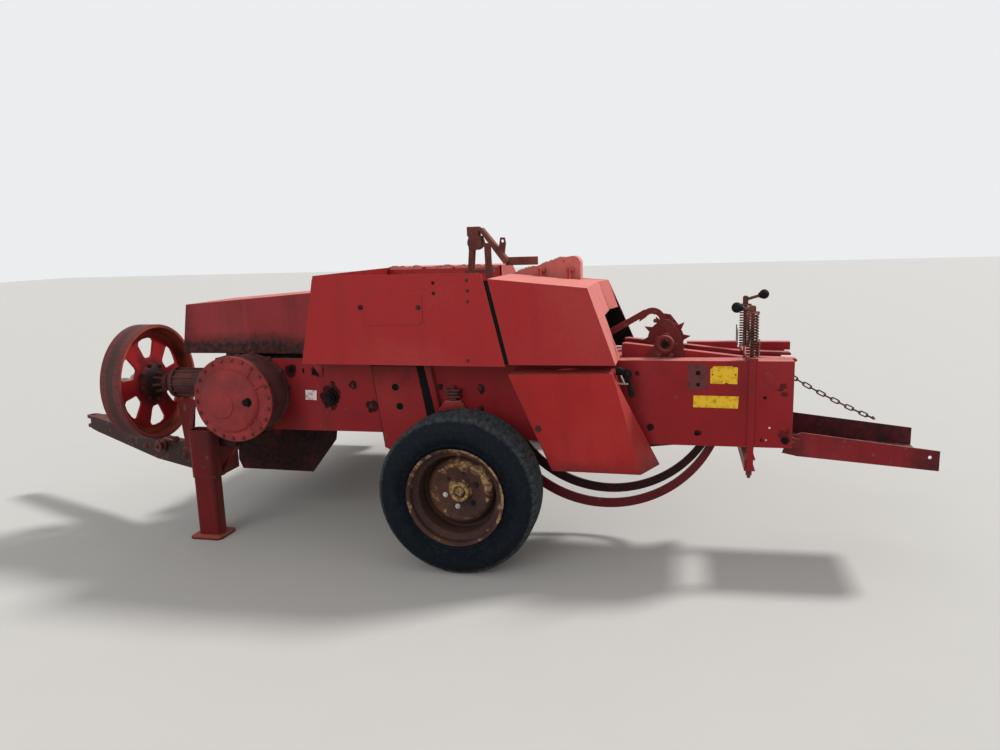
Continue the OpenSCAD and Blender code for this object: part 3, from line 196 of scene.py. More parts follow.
def weathered(name, fresh, faded_and_sunlit, rust=(0.075, 0.028, 0.018), rusting=0.5, fading_and_sunlight=0.8,
              grime=0.4, shine=0.45, offset=(0, 0, 0), soil_and_shade_rows=()):
    material, tree = fresh_material(name)
    coordinates = add(tree, "ShaderNodeTexCoord")
    place, facing = coordinates.outputs["Object"], coordinates.outputs["Normal"]
    toward = alike(tree, facing, sunlit)
    cloud = noise(tree, place, 1.7, 5.0, offset=offset)
    streak = noise(tree, place, 10.0, 5.0, stretch=(1.0, 1.0, 0.10), offset=offset)
    blotch = noise(tree, place, 7.0, 8.0, offset=offset)
    speckle = noise(tree, place, 75.0, 4.0, offset=offset)
    splash = noise(tree, place, 38.0, 6.0, offset=(7, 7, 7))
    dark = tuple(0.30 * c + 0.006 for c in fresh)
    # faces turned to the sun pale: partly sun bleaching, partly painted sunlight; a few broad patches
    # pale with them
    bleach_and_sunlight = times(tree, ramp(tree, toward, 0.30, 0.85), fading_and_sunlight)
    patchy = times(tree, ramp(tree, cloud, 0.48, 0.80), 0.09)
    colour = mixed(tree, larger(tree, bleach_and_sunlight, patchy), fresh, faded_and_sunlit)
    colour = mixed(tree, times(tree, ramp(tree, streak, 0.50, 0.74), grime), colour, dark)
    colour = mixed(tree, times(tree, ramp(tree, blotch, 0.52, 0.70), 0.5 * grime), colour, dark)
    colour = mixed(tree, times(tree, ramp(tree, speckle, 0.40, 0.75), 0.16), colour,
                   tuple(0.5 * c for c in fresh))
    # chips: along the edges, and in scattered spots
    rounded = add(tree, "ShaderNodeBevel", {"Radius": 0.007}, samples=4).outputs[0]
    geometry = add(tree, "ShaderNodeNewGeometry").outputs["Normal"]
    bend = alike(tree, rounded, geometry)
    edge = ramp(tree, bend, 0.985, 0.82)
    worn = times(tree, edge, ramp(tree, noise(tree, place, 15.0, 5.0), 0.40, 0.58))
    spots = ramp(tree, noise(tree, place, 30.0, 7.0, offset=offset), 0.735 - 0.13 * rusting,
                 0.765 - 0.12 * rusting)
    rusty = larger(tree, worn, spots)
    colour = mixed(tree, rusty, colour, mixed(tree, speckle, rust,
                                              tuple(min(1.0, 2.4 * c) for c in rust)))
    # grease and mud, and painted shade where a row stands for it
    soil_and_shade = 0.0
    axes = add(tree, "ShaderNodeSeparateXYZ", {0: place}).outputs
    for axis, clean, black, amount in soil_and_shade_rows:
        ragged = centred_noise(tree, blotch, 1.9 * (black - clean))
        reach = ramp(tree, plus(tree, axes[axis], ragged), clean, black)
        broken = plus(tree, 0.72, times(tree, ramp(tree, splash, 0.40, 0.60), 0.28))
        soil_and_shade = larger(tree, soil_and_shade, times(tree, times(tree, reach, broken), amount))
    if soil_and_shade_rows:
        colour = mixed(tree, soil_and_shade, colour, (0.012, 0.0075, 0.0080))
    rough = ranged(tree, larger(tree, rusty, bleach_and_sunlight), shine, 0.85)
    rough = plus(tree, rough, centred_noise(tree, cloud, 0.25))
    height = plus(tree, times(tree, cloud, 0.5), times(tree, rusty, -0.12))
    height = plus(tree, height, times(tree, speckle, 0.05))
    height = plus(tree, height, times(tree, soil_and_shade, 0.10))
    return surface(material, colour, rough, height, 0.35, 0.004, gloss=0.16)

red_paint = weathered("faded_red_paint", (0.325, 0.016, 0.018), (0.70, 0.250, 0.210), rusting=0.10,
                      grime=0.16)
wall_paint = weathered("chamber_red_paint", (0.226, 0.008, 0.011), (0.58, 0.200, 0.180), rusting=0.30,
                       grime=0.40, offset=(3, 1, 7))
dirty_paint = weathered("dirty_dark_paint", (0.120, 0.010, 0.012), (0.40, 0.140, 0.110), rusting=0.8,
                        grime=0.9, shine=0.6, offset=(1, 5, 2))
flywheel_paint = weathered("flywheel_paint", (0.165, 0.009, 0.010), (0.52, 0.120, 0.075), rusting=0.6,
                           grime=0.6, offset=(2, 2, 9))
wheel_paint = weathered("wheel_rust_and_old_yellow", (0.052, 0.026, 0.018), (0.36, 0.210, 0.070),
                        rust=(0.045, 0.020, 0.014), rusting=0.9, fading_and_sunlight=0.15, grime=0.7, shine=0.7,
                        offset=(4, 0, 3))
print("paints:", [m.name for m in bpy.data.materials])

# %% [markdown]
# ## Iron, steel and rubber
# Gearbox, springs and linkage are bare castings and bars: dark scale, orange
# rust on top and a film of oil. The pickup's tines and the needles are rubbed
# bright by the hay. Rubber is matt, paler where dust has dried on it.

# %% Rusty iron
def rusty_iron(name, dark, orange, oily=0.3, offset=(0, 0, 0), gloss=0.30):
    material, tree = fresh_material(name)
    coordinates = add(tree, "ShaderNodeTexCoord")
    place = coordinates.outputs["Object"]
    upward = add(tree, "ShaderNodeSeparateXYZ", {0: coordinates.outputs["Normal"]}).outputs["Z"]
    cloud = noise(tree, place, 7.0, 6.0, offset=offset)
    grain = noise(tree, place, 90.0, 4.0, offset=offset)
    lit = plus(tree, ramp(tree, cloud, 0.35, 0.68), times(tree, ramp(tree, upward, 0.2, 1.0), 0.25))
    colour = mixed(tree, lit, dark, orange)
    colour = mixed(tree, times(tree, ramp(tree, grain, 0.4, 0.8), 0.35), colour,
                   tuple(0.45 * c for c in dark))
    oil = times(tree, ramp(tree, noise(tree, place, 3.0, 4.0, offset=(9, 2, 4)), 0.50, 0.66), oily)
    colour = mixed(tree, oil, colour, (0.012, 0.010, 0.010))
    rough = ranged(tree, oil, 0.82, 0.35)
    return surface(material, colour, rough, plus(tree, cloud, times(tree, grain, 0.25)), 0.5, 0.003,
                   gloss=gloss)

gear_iron = rusty_iron("greasy_gearbox_iron", (0.040, 0.011, 0.012), (0.135, 0.044, 0.038), oily=0.6)
spring_iron = rusty_iron("rusty_spring_iron", (0.050, 0.018, 0.013), (0.150, 0.045, 0.030), oily=0.2)
cover_iron = rusty_iron("painted_gearbox_cover", (0.190, 0.022, 0.022), (0.300, 0.034, 0.033), oily=0.35,
                        offset=(5, 5, 1))

# %% Worn steel
def worn_steel(name, bright, stained, offset=(0, 0, 0)):
    material, tree = fresh_material(name)
    place = add(tree, "ShaderNodeTexCoord").outputs["Object"]
    cloud = noise(tree, place, 6.0, 5.0, offset=offset)
    scratch = noise(tree, place, 120.0, 2.0, stretch=(1, 0.05, 1), offset=offset)
    stain = ramp(tree, cloud, 0.42, 0.62)
    colour = mixed(tree, stain, bright, stained)
    rough = plus(tree, times(tree, stain, 0.35), plus(tree, times(tree, scratch, 0.2), 0.25))
    return surface(material, colour, rough, scratch, 0.2, 0.001, metal=0.75)

bare_steel = worn_steel("bare_worn_steel", (0.42, 0.40, 0.37), (0.13, 0.075, 0.045))
bolt_steel = worn_steel("bolt_steel", (0.060, 0.030, 0.028), (0.022, 0.010, 0.009), offset=(2, 8, 1))

# %% Rubber
def dusty_rubber(name, clean, dust, dusty=0.45):
    material, tree = fresh_material(name)
    place = add(tree, "ShaderNodeTexCoord").outputs["Object"]
    cloud = noise(tree, place, 5.0, 6.0)
    grain = noise(tree, place, 140.0, 3.0)
    dusted = times(tree, ramp(tree, cloud, 0.38, 0.75), dusty)
    colour = mixed(tree, dusted, clean, dust)
    rough = ranged(tree, cloud, 0.55, 0.85)
    return surface(material, colour, rough, grain, 0.3, 0.0015, gloss=0.10)

tyre_rubber = dusty_rubber("tyre_rubber", (0.011, 0.010, 0.011), (0.050, 0.050, 0.050))
black_rubber = dusty_rubber("latch_rubber", (0.0040, 0.0042, 0.0050), (0.020, 0.018, 0.016), 0.3)

# %% [markdown]
# Each solid that came with the machine takes the finish of its real piece.
# The list names every one, so that none is left plain.

# %% Finishes of the machine's own solids
finish_of = {
    red_paint: "twine_box knotter_cover lower_shield feed_hood drive_cover crank_cover stand_sleeve",
    wall_paint: "left_wall right_wall tension_rails tension_frame chamber_roof axle_plates"
                " needles needle_yoke needle_pivots",
    dirty_paint: "chamber_floor front_frame drawbar_mount drawbar stand_leg chute feed_deck axle_beam"
                 " pickup_frame pickup_pivots star_wheel star_bracket",
    flywheel_paint: "flywheel",
    gear_iron: "gearbox_housing knotters packer chute_hinges",
    cover_iron: "gearbox_cover",
    spring_iron: "tension_springs tension_screws chute_chain",
    bare_steel: "pto_shaft plunger spindles pickup_reel",
    wheel_paint: "left_rim right_rim",
    tyre_rubber: "left_tyre right_tyre",
}
for finish, names in finish_of.items():
    for name in names.split():
        mesh = nodes[name].data
        mesh.materials.clear()
        mesh.materials.append(finish)
print("dressed", sum(len(names.split()) for names in finish_of.values()), "of", len(nodes))

# %% [markdown]
# ## Floor
# A plain pale floor keeps the machine's shadow. Its colour, not more light,
# makes the background pale, and the world shows the same paleness behind it.

# %% Floor and background
def pale_surface(name, colour):
    material, tree = fresh_material(name)
    grain = noise(tree, add(tree, "ShaderNodeTexCoord").outputs["Object"], 3.0, 5.0)
    tint = mixed(tree, times(tree, grain, 0.25), colour, tuple(0.85 * c for c in colour))
    shader = add(tree, "ShaderNodeBsdfPrincipled", {"Base Color": tint, "Roughness": 0.9})
    add(tree, "ShaderNodeOutputMaterial", {"Surface": shader.outputs[0]})
    return material

ground = bmesh.new()
bmesh.ops.create_grid(ground, x_segments=1, y_segments=1, size=40.0)
floor_mesh = bpy.data.meshes.new("floor")
ground.to_mesh(floor_mesh)
ground.free()
floor_mesh.materials.append(pale_surface("pale_floor", (0.47, 0.455, 0.43)))
floor = bpy.data.objects.new("floor", floor_mesh)
scene.collection.objects.link(floor)

world = bpy.data.worlds.new("grey_sky")
scene.world = world
world.use_nodes = True
sky = world.node_tree
sky.nodes.clear()
rays = add(sky, "ShaderNodeLightPath").outputs
seen = larger(sky, rays["Is Camera Ray"], larger(sky, rays["Is Glossy Ray"], rays["Is Transmission Ray"]))
strength = ranged(sky, seen, 0.62, 0.86)
dome = add(sky, "ShaderNodeBackground", {"Color": (0.97, 0.985, 1.0, 1.0), "Strength": strength})
add(sky, "ShaderNodeOutputWorld", {"Surface": dome.outputs[0]})

# %% [markdown]
# ## Finishes of single pieces
# Some pieces have their own finish: the crank cover is black with grease
# along its foot, the box under the front is nearly black all over with mud and
# painted shade, and the drawbar lost most of its paint. They reuse the recipes with other colours.

# %% Single finishes
crank_paint = weathered("greasy_cover_paint", (0.235, 0.022, 0.026), (0.66, 0.230, 0.190), rusting=0.45,
                        grime=0.55, shine=0.40, offset=(6, 2, 2), soil_and_shade_rows=(("Z", 1.145, 1.070, 1.0),
                                                                         ("X", -1.17, -1.27, 0.55)))
# the box under the front: dark with mud and with painted shade from the machine above it, darker towards
# its foot and its front
front_paint = weathered("muddy_and_shaded_front_paint", (0.060, 0.007, 0.0075), (0.22, 0.070, 0.058), rusting=0.7,
                        grime=0.8, shine=0.6, offset=(1, 3, 2), soil_and_shade_rows=(("Z", 0.62, 0.52, 0.92),
                                                                       ("X", -0.80, -0.95, 0.75)))
shield_paint = weathered("lower_shield_paint", (0.325, 0.013, 0.013), (0.66, 0.200, 0.170), rusting=0.15,
                         fading_and_sunlight=0.22, grime=0.25, offset=(4, 4, 4), soil_and_shade_rows=(("Z", 0.560, 0.470, 0.60),))
# the chute's Y row darkens its far side with dirt and painted shade; its X rows are dirt
chute_paint = weathered("chute_paint", (0.185, 0.010, 0.014), (0.56, 0.320, 0.270), rusting=0.75,
                        grime=0.75, shine=0.5, offset=(5, 1, 3),
                        soil_and_shade_rows=(("Y", -0.84, -0.70, 0.85), ("X", 2.38, 2.50, 0.72),
                                ("X", 1.98, 1.90, 0.60)))
stand_paint = weathered("stand_paint", (0.122, 0.0045, 0.0065), (0.42, 0.120, 0.090), rusting=0.75,
                        grime=0.9, shine=0.5, offset=(5, 6, 3))
bracket_paint = weathered("bracket_paint", (0.120, 0.010, 0.011), (0.36, 0.110, 0.085), rusting=0.9,
                          grime=0.7, shine=0.55, offset=(8, 1, 2))
# the Y row turns the far needle black: painted shade
needle_paint = weathered("needle_paint", (0.105, 0.007, 0.010), (0.30, 0.060, 0.055), rusting=0.5,
                         grime=0.5, shine=0.40, offset=(8, 8, 2), soil_and_shade_rows=(("Y", -0.70, -0.62, 0.88),))
# the Y row blackens the pickup's left end plate: painted shade under the machine
pickup_paint = weathered("pickup_paint", (0.130, 0.014, 0.013), (0.38, 0.130, 0.100), rusting=0.9,
                         grime=0.8, shine=0.6, offset=(1, 5, 2), soil_and_shade_rows=(("Y", -0.20, -0.375, 0.97),))
plate_paint = weathered("axle_plate_paint", (0.248, 0.010, 0.012), (0.58, 0.200, 0.180), rusting=0.55,
                        grime=0.35, offset=(6, 1, 7), soil_and_shade_rows=(("Z", 0.84, 1.00, 0.62),))
floor_steel = weathered("rubbed_floor_steel", (0.150, 0.105, 0.085), (0.30, 0.230, 0.190), rusting=0.95,
                        grime=0.8, shine=0.35, offset=(3, 9, 1))
tine_steel = worn_steel("tine_steel", (0.300, 0.240, 0.200), (0.085, 0.040, 0.026), offset=(7, 1, 3))
drawbar_paint = weathered("drawbar_paint", (0.028, 0.0085, 0.008), (0.135, 0.056, 0.045), rusting=1.0,
                          grime=0.7, shine=0.55, offset=(0, 8, 2))
# pale pink torn rims: painted sunlight on their edges, with rust chips
torn_paint = weathered("torn_rim_rust_and_sunlight", (0.500, 0.180, 0.150), (0.66, 0.330, 0.280), rusting=1.0,
                       grime=0.3, shine=0.7, offset=(0, 8, 8))
star_paint = weathered("star_paint", (0.150, 0.012, 0.015), (0.34, 0.060, 0.055), rusting=0.5,
                       grime=0.5, offset=(2, 8, 8))
linkage_iron = rusty_iron("linkage_iron", (0.065, 0.018, 0.015), (0.200, 0.052, 0.036), oily=0.35,
                          offset=(1, 5, 1))
chain_iron = rusty_iron("chain_iron", (0.040, 0.016, 0.014), (0.110, 0.038, 0.030), oily=0.1,
                        offset=(1, 5, 5))
grease_black = rusty_iron("black_grease", (0.0070, 0.0045, 0.0050), (0.026, 0.0080, 0.0080), oily=0.9,
                          offset=(4, 5, 5), gloss=0.09)
stud_iron = rusty_iron("cover_bolt_iron", (0.105, 0.024, 0.022), (0.210, 0.036, 0.032), oily=0.2,
                       offset=(4, 1, 5))
ball_plastic = dusty_rubber("ball_plastic", (0.006, 0.007, 0.009), (0.03, 0.03, 0.03), 0.10)
drive_paint = weathered("bleached_cover_paint", (0.500, 0.125, 0.108), (0.72, 0.270, 0.230), rusting=0.35,
                        grime=0.25, offset=(9, 4, 1))
print("finishes:", len(bpy.data.materials))

# %% [markdown]
# ## Turning a mesh into a piece
# Every new piece ends the same way. It was shaped in the machine's own frame,
# so it moves to the part's frame, marks its sharp edges, gets a finish and
# rides on the body that carries it.

# %% Piece helper
def piece(name, bm, finish, body, sharp=35.0, stands_for=(), placed=False):
    if not placed:
        bmesh.ops.translate(bm, verts=bm.verts, vec=-middle_of_outline)
    for face in bm.faces:
        face.smooth = True
    for edge in bm.edges:
        edge.smooth = len(edge.link_faces) == 2 and edge.calc_face_angle(0.0) < math.radians(sharp)
    mesh = bpy.data.meshes.new(name)
    bm.to_mesh(mesh)
    bm.free()
    mesh.materials.append(finish)
    made = bpy.data.objects.new(name, mesh)
    scene.collection.objects.link(made)
    if body:
        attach(made, body)
    if stands_for:
        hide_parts(*stands_for)
    print(name, len(mesh.polygons), "faces")
    return made

# %% [markdown]
# ## Shaping tools
# Most of a baler is turned, drawn or folded: hubs and tyres are turned, bars
# and bolts are drawn, sheets are cut and folded. Each way gets one helper that
# starts from a bmesh shape or a short outline and lets an operator do the rest.

# %% Turned, drawn and cut shapes
def facing(centre, axis):
    return Matrix.Translation(centre) @ Vector(axis).to_track_quat("Z", "Y").to_matrix().to_4x4()

def joined(bm, part):
    holder = bpy.data.meshes.new("holder")
    part.to_mesh(holder)
    part.free()
    bm.from_mesh(holder)
    bpy.data.meshes.remove(holder)

def turned(bm, outline, centre, axis, steps=96, pull=None):
    part = bmesh.new()
    place = facing(centre, axis)
    dots = [part.verts.new(place @ Vector((radius, 0.0, along))) for radius, along in outline]
    lines = [part.edges.new(pair) for pair in zip(dots, dots[1:] + dots[:1])]
    bmesh.ops.spin(part, geom=dots + lines, cent=centre, axis=axis, angle=math.tau, steps=steps,
                   use_merge=True)
    bmesh.ops.remove_doubles(part, verts=part.verts, dist=1e-5)
    loose = [edge for edge in part.edges if not edge.link_faces]
    bmesh.ops.delete(part, geom=loose, context="EDGES")
    bmesh.ops.recalc_face_normals(part, faces=part.faces)
    if pull:
        pull(part)
    joined(bm, part)

def bar(bm, start, end, radius, sides=14, tip=None):
    start, end = Vector(start), Vector(end)
    bmesh.ops.create_cone(bm, cap_ends=True, segments=sides, radius1=radius,
                          radius2=radius if tip is None else tip, depth=(end - start).length,
                          matrix=facing((start + end) / 2, end - start))

def brick(bm, low, high, soft=0.0):
    low, high = Vector(low), Vector(high)
    made = bmesh.ops.create_cube(bm, size=1.0, matrix=Matrix.Translation((low + high) / 2)
                                 @ Matrix.Diagonal((*(high - low), 1.0)))
    if soft:
        edges = list({edge for dot in made["verts"] for edge in dot.link_edges})
        bmesh.ops.bevel(bm, geom=edges, offset=soft, segments=2, profile=0.5, affect="EDGES", material=-1)

def slab(bm, outline, near, far, soft=0.0):
    part = bmesh.new()
    face = part.faces.new([part.verts.new((x, near, z)) for x, z in outline])
    grown = bmesh.ops.extrude_face_region(part, geom=[face])["geom"]
    bmesh.ops.translate(part, verts=[v for v in grown if isinstance(v, bmesh.types.BMVert)],
                        vec=(0.0, far - near, 0.0))
    bmesh.ops.recalc_face_normals(part, faces=part.faces)
    if soft:
        bmesh.ops.bevel(part, geom=part.edges[:], offset=soft, segments=2, profile=0.5,
                        affect="EDGES", material=-1)
    joined(bm, part)

def stacked(bm, foot, out, *rows):
    for low, high, *size in rows:
        bar(bm, foot + out * low, foot + out * high, *size)

def angles(count, first=0.0):
    return [math.radians(turn * 360 / count + first) for turn in range(count)]

def on_wall(bm, outline, proud, soft=0.0):
    slab(bm, outline, wall - proud, wall - 0.0002, soft)

def bolt(bm, place, out, radius, stud=0.35):
    place, out = Vector(place), Vector(out).normalized() * radius
    bar(bm, place - out * 0.1, place + out * 0.22, radius * 1.35, 16)
    bar(bm, place + out * 0.2, place + out * 0.85, radius, 6)
    bar(bm, place + out * 0.84, place + out * 1.0, radius * 0.93, 6, radius * 0.74)
    if stud:
        bar(bm, place + out * 0.9, place + out * (1.0 + stud), radius * 0.45, 10)

# %% [markdown]
# A curved CAD solid arrives as loose flat triangles. A copy of it, merged and
# with its flat faces joined, can be shaded smooth, and a fine bevel on its
# sharp edges catches the light as a rolled or sheared edge of sheet does.

# %% Merged copies of the machine's solids
def refined(node, finish, body, edge=0.0, sharp=30.0):
    bm = bmesh.new()
    bm.from_mesh(nodes[node].data)
    bmesh.ops.remove_doubles(bm, verts=bm.verts, dist=2e-5)
    bmesh.ops.dissolve_limit(bm, angle_limit=math.radians(0.6), verts=bm.verts, edges=bm.edges)
    made = piece(node + "_form", bm, finish, body, sharp, (node,), placed=True)
    if edge:
        rounding = made.modifiers.new("worn_edges", "BEVEL")
        rounding.width, rounding.segments = edge, 2
        rounding.limit_method, rounding.angle_limit = "ANGLE", math.radians(50)
        rounding.use_clamp_overlap = True

# %% [markdown]
# ## Tyres
# An implement tyre is a turned shape: two stiff beads, round side walls and a
# tread whose four grooves are nearly worn away. Half of its section is written
# down and mirrored, the section is spun round the axle, and small pockets are
# pressed into the shoulders, where the last of the side lugs still shows.

# %% Tyre finishes
def tyre_finish(name, axle, radius, half):
    material, tree = fresh_material(name)
    place = add(tree, "ShaderNodeTexCoord").outputs["Object"]
    centred, axes, out = round_axle(tree, place, axle)
    along = size_of(tree, axes["Y"])
    ragged = noise(tree, place, 48.0, 7.0)
    cloud = noise(tree, place, 5.0, 6.0)
    scuff = noise(tree, place, 60.0, 4.0, stretch=(1.0, 0.3, 1.0))
    reach = plus(tree, out, centred_noise(tree, ragged, 0.016))
    tread = ramp(tree, reach, radius - 0.026, radius - 0.015)
    rubbed = ramp(tree, plus(tree, out, centred_noise(tree, cloud, 0.10)), radius - 0.115, radius - 0.075)
    colour = mixed(tree, times(tree, rubbed, 0.55), (0.0020, 0.0040, 0.0072), (0.0085, 0.0110, 0.0150))
    colour = mixed(tree, times(tree, ramp(tree, scuff, 0.50, 0.75), 0.25), colour, (0.030, 0.032, 0.034))
    worn = mixed(tree, ramp(tree, scuff, 0.35, 0.70), (0.020, 0.024, 0.028), (0.060, 0.066, 0.070))
    colour = mixed(tree, tread, colour, worn)
    # the grooves keep their black: they lie deeper than the worn ribs between them
    deep = times(tree, ramp(tree, out, radius - 0.0035, radius - 0.0065),
                 ramp(tree, along, half - 0.042, half - 0.050))
    colour = mixed(tree, deep, colour, (0.0030, 0.0035, 0.0042))
    rough = ranged(tree, tread, 0.62, 0.90)
    height = plus(tree, times(tree, scuff, 0.5), times(tree, ragged, 0.5))
    return surface(material, colour, rough, height, 0.25, 0.0015, gloss=0.07)

# %% Tyres
def tyre(name, hub, out, radius, width, bead, body, node):
    half = width / 2
    side = [(bead, half - 0.040), (bead + 0.004, half - 0.022), (bead + 0.012, half - 0.015),
            (bead + 0.020, half - 0.010), (bead + 0.026, half - 0.0075), (bead + 0.030, half - 0.0095),
            (bead + 0.046, half - 0.003), (radius - 0.084, half - 0.0005),
            (radius - 0.060, half - 0.003), (radius - 0.040, half - 0.009),
            (radius - 0.026, half - 0.016), (radius - 0.012, half - 0.027),
            (radius - 0.004, half - 0.038), (radius - 0.002, half - 0.048)]
    for groove in (0.68, 0.22):
        middle = (half - 0.048) * groove + 0.004
        side += [(radius - 0.001, middle + 0.0045), (radius - 0.008, middle + 0.0028),
                 (radius - 0.008, middle - 0.0028), (radius, middle - 0.0045)]
    outline = side + [(r, -along) for r, along in reversed(side)]

    def press(part):
        shoulder = []
        for face in part.faces:
            arm = face.calc_center_median() - hub
            along = abs(arm.y)
            height = math.hypot(arm.x, arm.z)
            turn = int((math.atan2(arm.z, arm.x) + math.pi) / math.tau * 120 + 0.5)
            if radius - 0.027 < height < radius - 0.011 and along > half - 0.03 and turn % 2:
                shoulder.append(face)
        bmesh.ops.inset_individual(part, faces=shoulder, thickness=0.0015, depth=-0.0022,
                                   use_even_offset=True)

    bm = bmesh.new()
    turned(bm, outline, hub, out, 120, press)
    finish = tyre_finish(name + "_rubber", hub - middle_of_outline, radius, half)
    piece(name, bm, finish, body, 28.0, (node,))

left_hub, right_hub = Vector((0, -0.490, 0.390)), Vector((0, 1.890, 0.340))
tyre("left_tyre_form", left_hub, Vector((0, -1, 0)), 0.390, 0.260, 0.229, "wheel_left", "left_tyre")
tyre("right_tyre_form", right_hub, Vector((0, 1, 0)), 0.340, 0.180, 0.203, "wheel_right", "right_tyre")

# %% [markdown]
# ## Rims
# The rim is a pressed barrel with a dished disc riveted in, a hub whose dust
# cap is gone, and six studs, two of them newer than the rest. Its old yellow
# paint only holds on the outer bend, on the disc's fold and round the hub, so
# the finish is laid in rings: it reads how far a point is from the axle.

# %% Ringed rust
fold_of_bead = 0.60

def rim_finish(name, axle, bead, half):
    material, tree = fresh_material(name)
    place = add(tree, "ShaderNodeTexCoord").outputs["Object"]
    centred, axes, out = round_axle(tree, place, axle)
    patches = noise(tree, place, 26.0, 9.0)
    grain = noise(tree, place, 110.0, 4.0)
    broad = noise(tree, place, 7.0, 4.0)
    sunward_wear_and_light = alike(tree, centred, (0.75, 0.0, 0.65))
    rings = 0.0
    for ring, reach in ((bead + 0.001, 0.024), (bead * fold_of_bead, 0.030), (0.040, 0.030)):
        near = minus(tree, 1.0, divided(tree, size_of(tree, minus(tree, out, ring)), reach))
        rings = larger(tree, rings, near)
    colour = mixed(tree, ramp(tree, grain, 0.3, 0.7), (0.022, 0.012, 0.012), (0.062, 0.028, 0.022))
    colour = mixed(tree, times(tree, ramp(tree, broad, 0.40, 0.66), 0.7), colour, (0.110, 0.046, 0.024))
    held = plus(tree, times(tree, rings, 0.17), centred_noise(tree, broad, 0.75))
    # paint holds more towards the upper right: worn paint there, and painted sunlight
    held = plus(tree, held, times(tree, sunward_wear_and_light, 0.55))
    held = plus(tree, held, times(tree, ramp(tree, out, 0.060, 0.044), 0.26))
    keeps = ramp(tree, plus(tree, patches, held), 0.64, 0.78)
    flakes = ramp(tree, noise(tree, place, 70.0, 5.0, offset=(3, 3, 3)), 0.40, 0.56)
    keeps = times(tree, keeps, plus(tree, 0.25, times(tree, flakes, 0.75)))
    colour = mixed(tree, keeps, colour, mixed(tree, grain, (0.22, 0.105, 0.036), (0.50, 0.340, 0.170)))
    # painted shade deep in the barrel, between the lip and the disc's fold
    barrel_shade = times(tree, ramp(tree, size_of(tree, axes["Y"]), half - 0.020, half - 0.062),
                   ramp(tree, out, bead * fold_of_bead + 0.020, bead * fold_of_bead + 0.040))
    colour = mixed(tree, times(tree, barrel_shade, times(tree, broad, 0.75)), colour, (0.0180, 0.0110, 0.0105))
    return surface(material, colour, 0.78, plus(tree, patches, times(tree, grain, 0.4)), 0.55, 0.003,
                   gloss=0.20)

# %% Rims
def rim(name, hub, out, bead, width, spindle_from, body, node):
    half, well = width / 2, bead - 0.038
    bm = bmesh.new()
    edge = [(bead - 0.0005, half - 0.046), (bead - 0.0005, half - 0.024), (bead + 0.004, half - 0.014),
            (bead + 0.009, half - 0.009), (bead + 0.010, half - 0.007), (bead + 0.007, half - 0.005),
            (bead + 0.001, half - 0.009), (bead - 0.006, half - 0.018), (bead - 0.007, half - 0.044),
            (well + 0.003, half - 0.058), (well, half - 0.064)]
    outer = edge[:-1] + [(well, half - 0.064), (well, 0.064 - half)]
    outer += [(r, -along) for r, along in reversed(edge[:-1])]
    outer += [(well + 0.006, 0.068 - half), (well + 0.006, half - 0.068)]
    turned(bm, outer, hub, out, 96)
    # dished disc with a rolled fold
    fold = bead * fold_of_bead
    disc = [(well + 0.003, -0.016), (well - 0.010, -0.019), (fold + 0.034, -0.014), (fold + 0.026, 0.004),
            (fold + 0.014, 0.019), (fold, 0.024), (fold - 0.014, 0.021), (fold - 0.028, 0.010),
            (0.085, 0.006), (0.056, 0.006), (0.056, -0.002), (0.085, -0.002), (fold - 0.026, 0.002),
            (fold - 0.010, 0.014), (fold + 0.002, 0.016), (fold + 0.012, 0.011), (fold + 0.020, -0.002),
            (fold + 0.030, -0.022), (well - 0.010, -0.026), (well + 0.003, -0.024)]
    turned(bm, disc, hub, out, 96)
    # hub: its flange, the open cap seat, and the nut on the spindle inside
    turned(bm, [(0.058, 0.004), (0.058, 0.010), (0.049, 0.014), (0.048, 0.034), (0.045, 0.040),
                (0.036, 0.041), (0.031, 0.038), (0.030, 0.016), (0.0, 0.016), (0.0, 0.004)], hub, out, 64)
    out = Vector(out)
    stacked(bm, hub, out, (0.015, 0.027, 0.021, 6), (0.015, 0.033, 0.011, 14))
    turned(bm, [(0.072, spindle_from), (0.072, -0.030), (0.060, -0.010), (0.057, 0.004), (0.029, 0.004),
                (0.029, spindle_from)], hub, out, 64)
    finish = rim_finish(name + "_paint", hub - middle_of_outline, bead, half)
    piece(name, bm, finish, body, 32.0, (node,))

rim("left_rim_form", left_hub, (0, -1, 0), 0.229, 0.260, -0.105, "wheel_left", "left_rim")
rim("right_rim_form", right_hub, (0, 1, 0), 0.203, 0.180, -0.075, "wheel_right", "right_rim")

# %% Studs and valve
def studs(name, hub, out, bead, body):
    dull, bright = bmesh.new(), bmesh.new()
    stud_circle = 0.083
    for turn, degrees in enumerate((46.6, 103.2, 162.4, 220.4, 278.3, 338.0)):
        a = math.radians(degrees)
        place = hub + Vector((stud_circle * math.cos(a), 0.006 * out[1], -stud_circle * math.sin(a)))
        bolt(bright if turn in (1, 2) else dull, place, out, 0.0095 if turn in (1, 2) else 0.0115)
    valve = hub + Vector((-0.03, 0.0, -(bead - 0.034)))
    stacked(dull, valve, Vector(out), (0.010, 0.052, 0.0040, 12, 0.0036), (0.050, 0.062, 0.0050, 12))
    piece(name + "_dull", dull, bolt_steel, body)
    piece(name + "_bright", bright, bright_zinc, body)

bright_zinc = worn_steel("bright_zinc", (0.62, 0.62, 0.62), (0.30, 0.27, 0.24), offset=(1, 1, 4))
studs("left_studs", left_hub, (0, -1, 0), 0.238, "wheel_left")
studs("right_studs", right_hub, (0, 1, 0), 0.203, "wheel_right")

# %% [markdown]
# ## Gearbox cover
# The cover is a cast disc: a flat flange, an off-centre dome, a low round
# boss on the dome and a filler plug. Casting has no sharp corners, so each
# step of the turned outlines has a small radius. The dome's centre lies a
# little ahead of the flange's, which a single turned outline can't give, so
# flange, dome and boss are turned round three parallel lines.

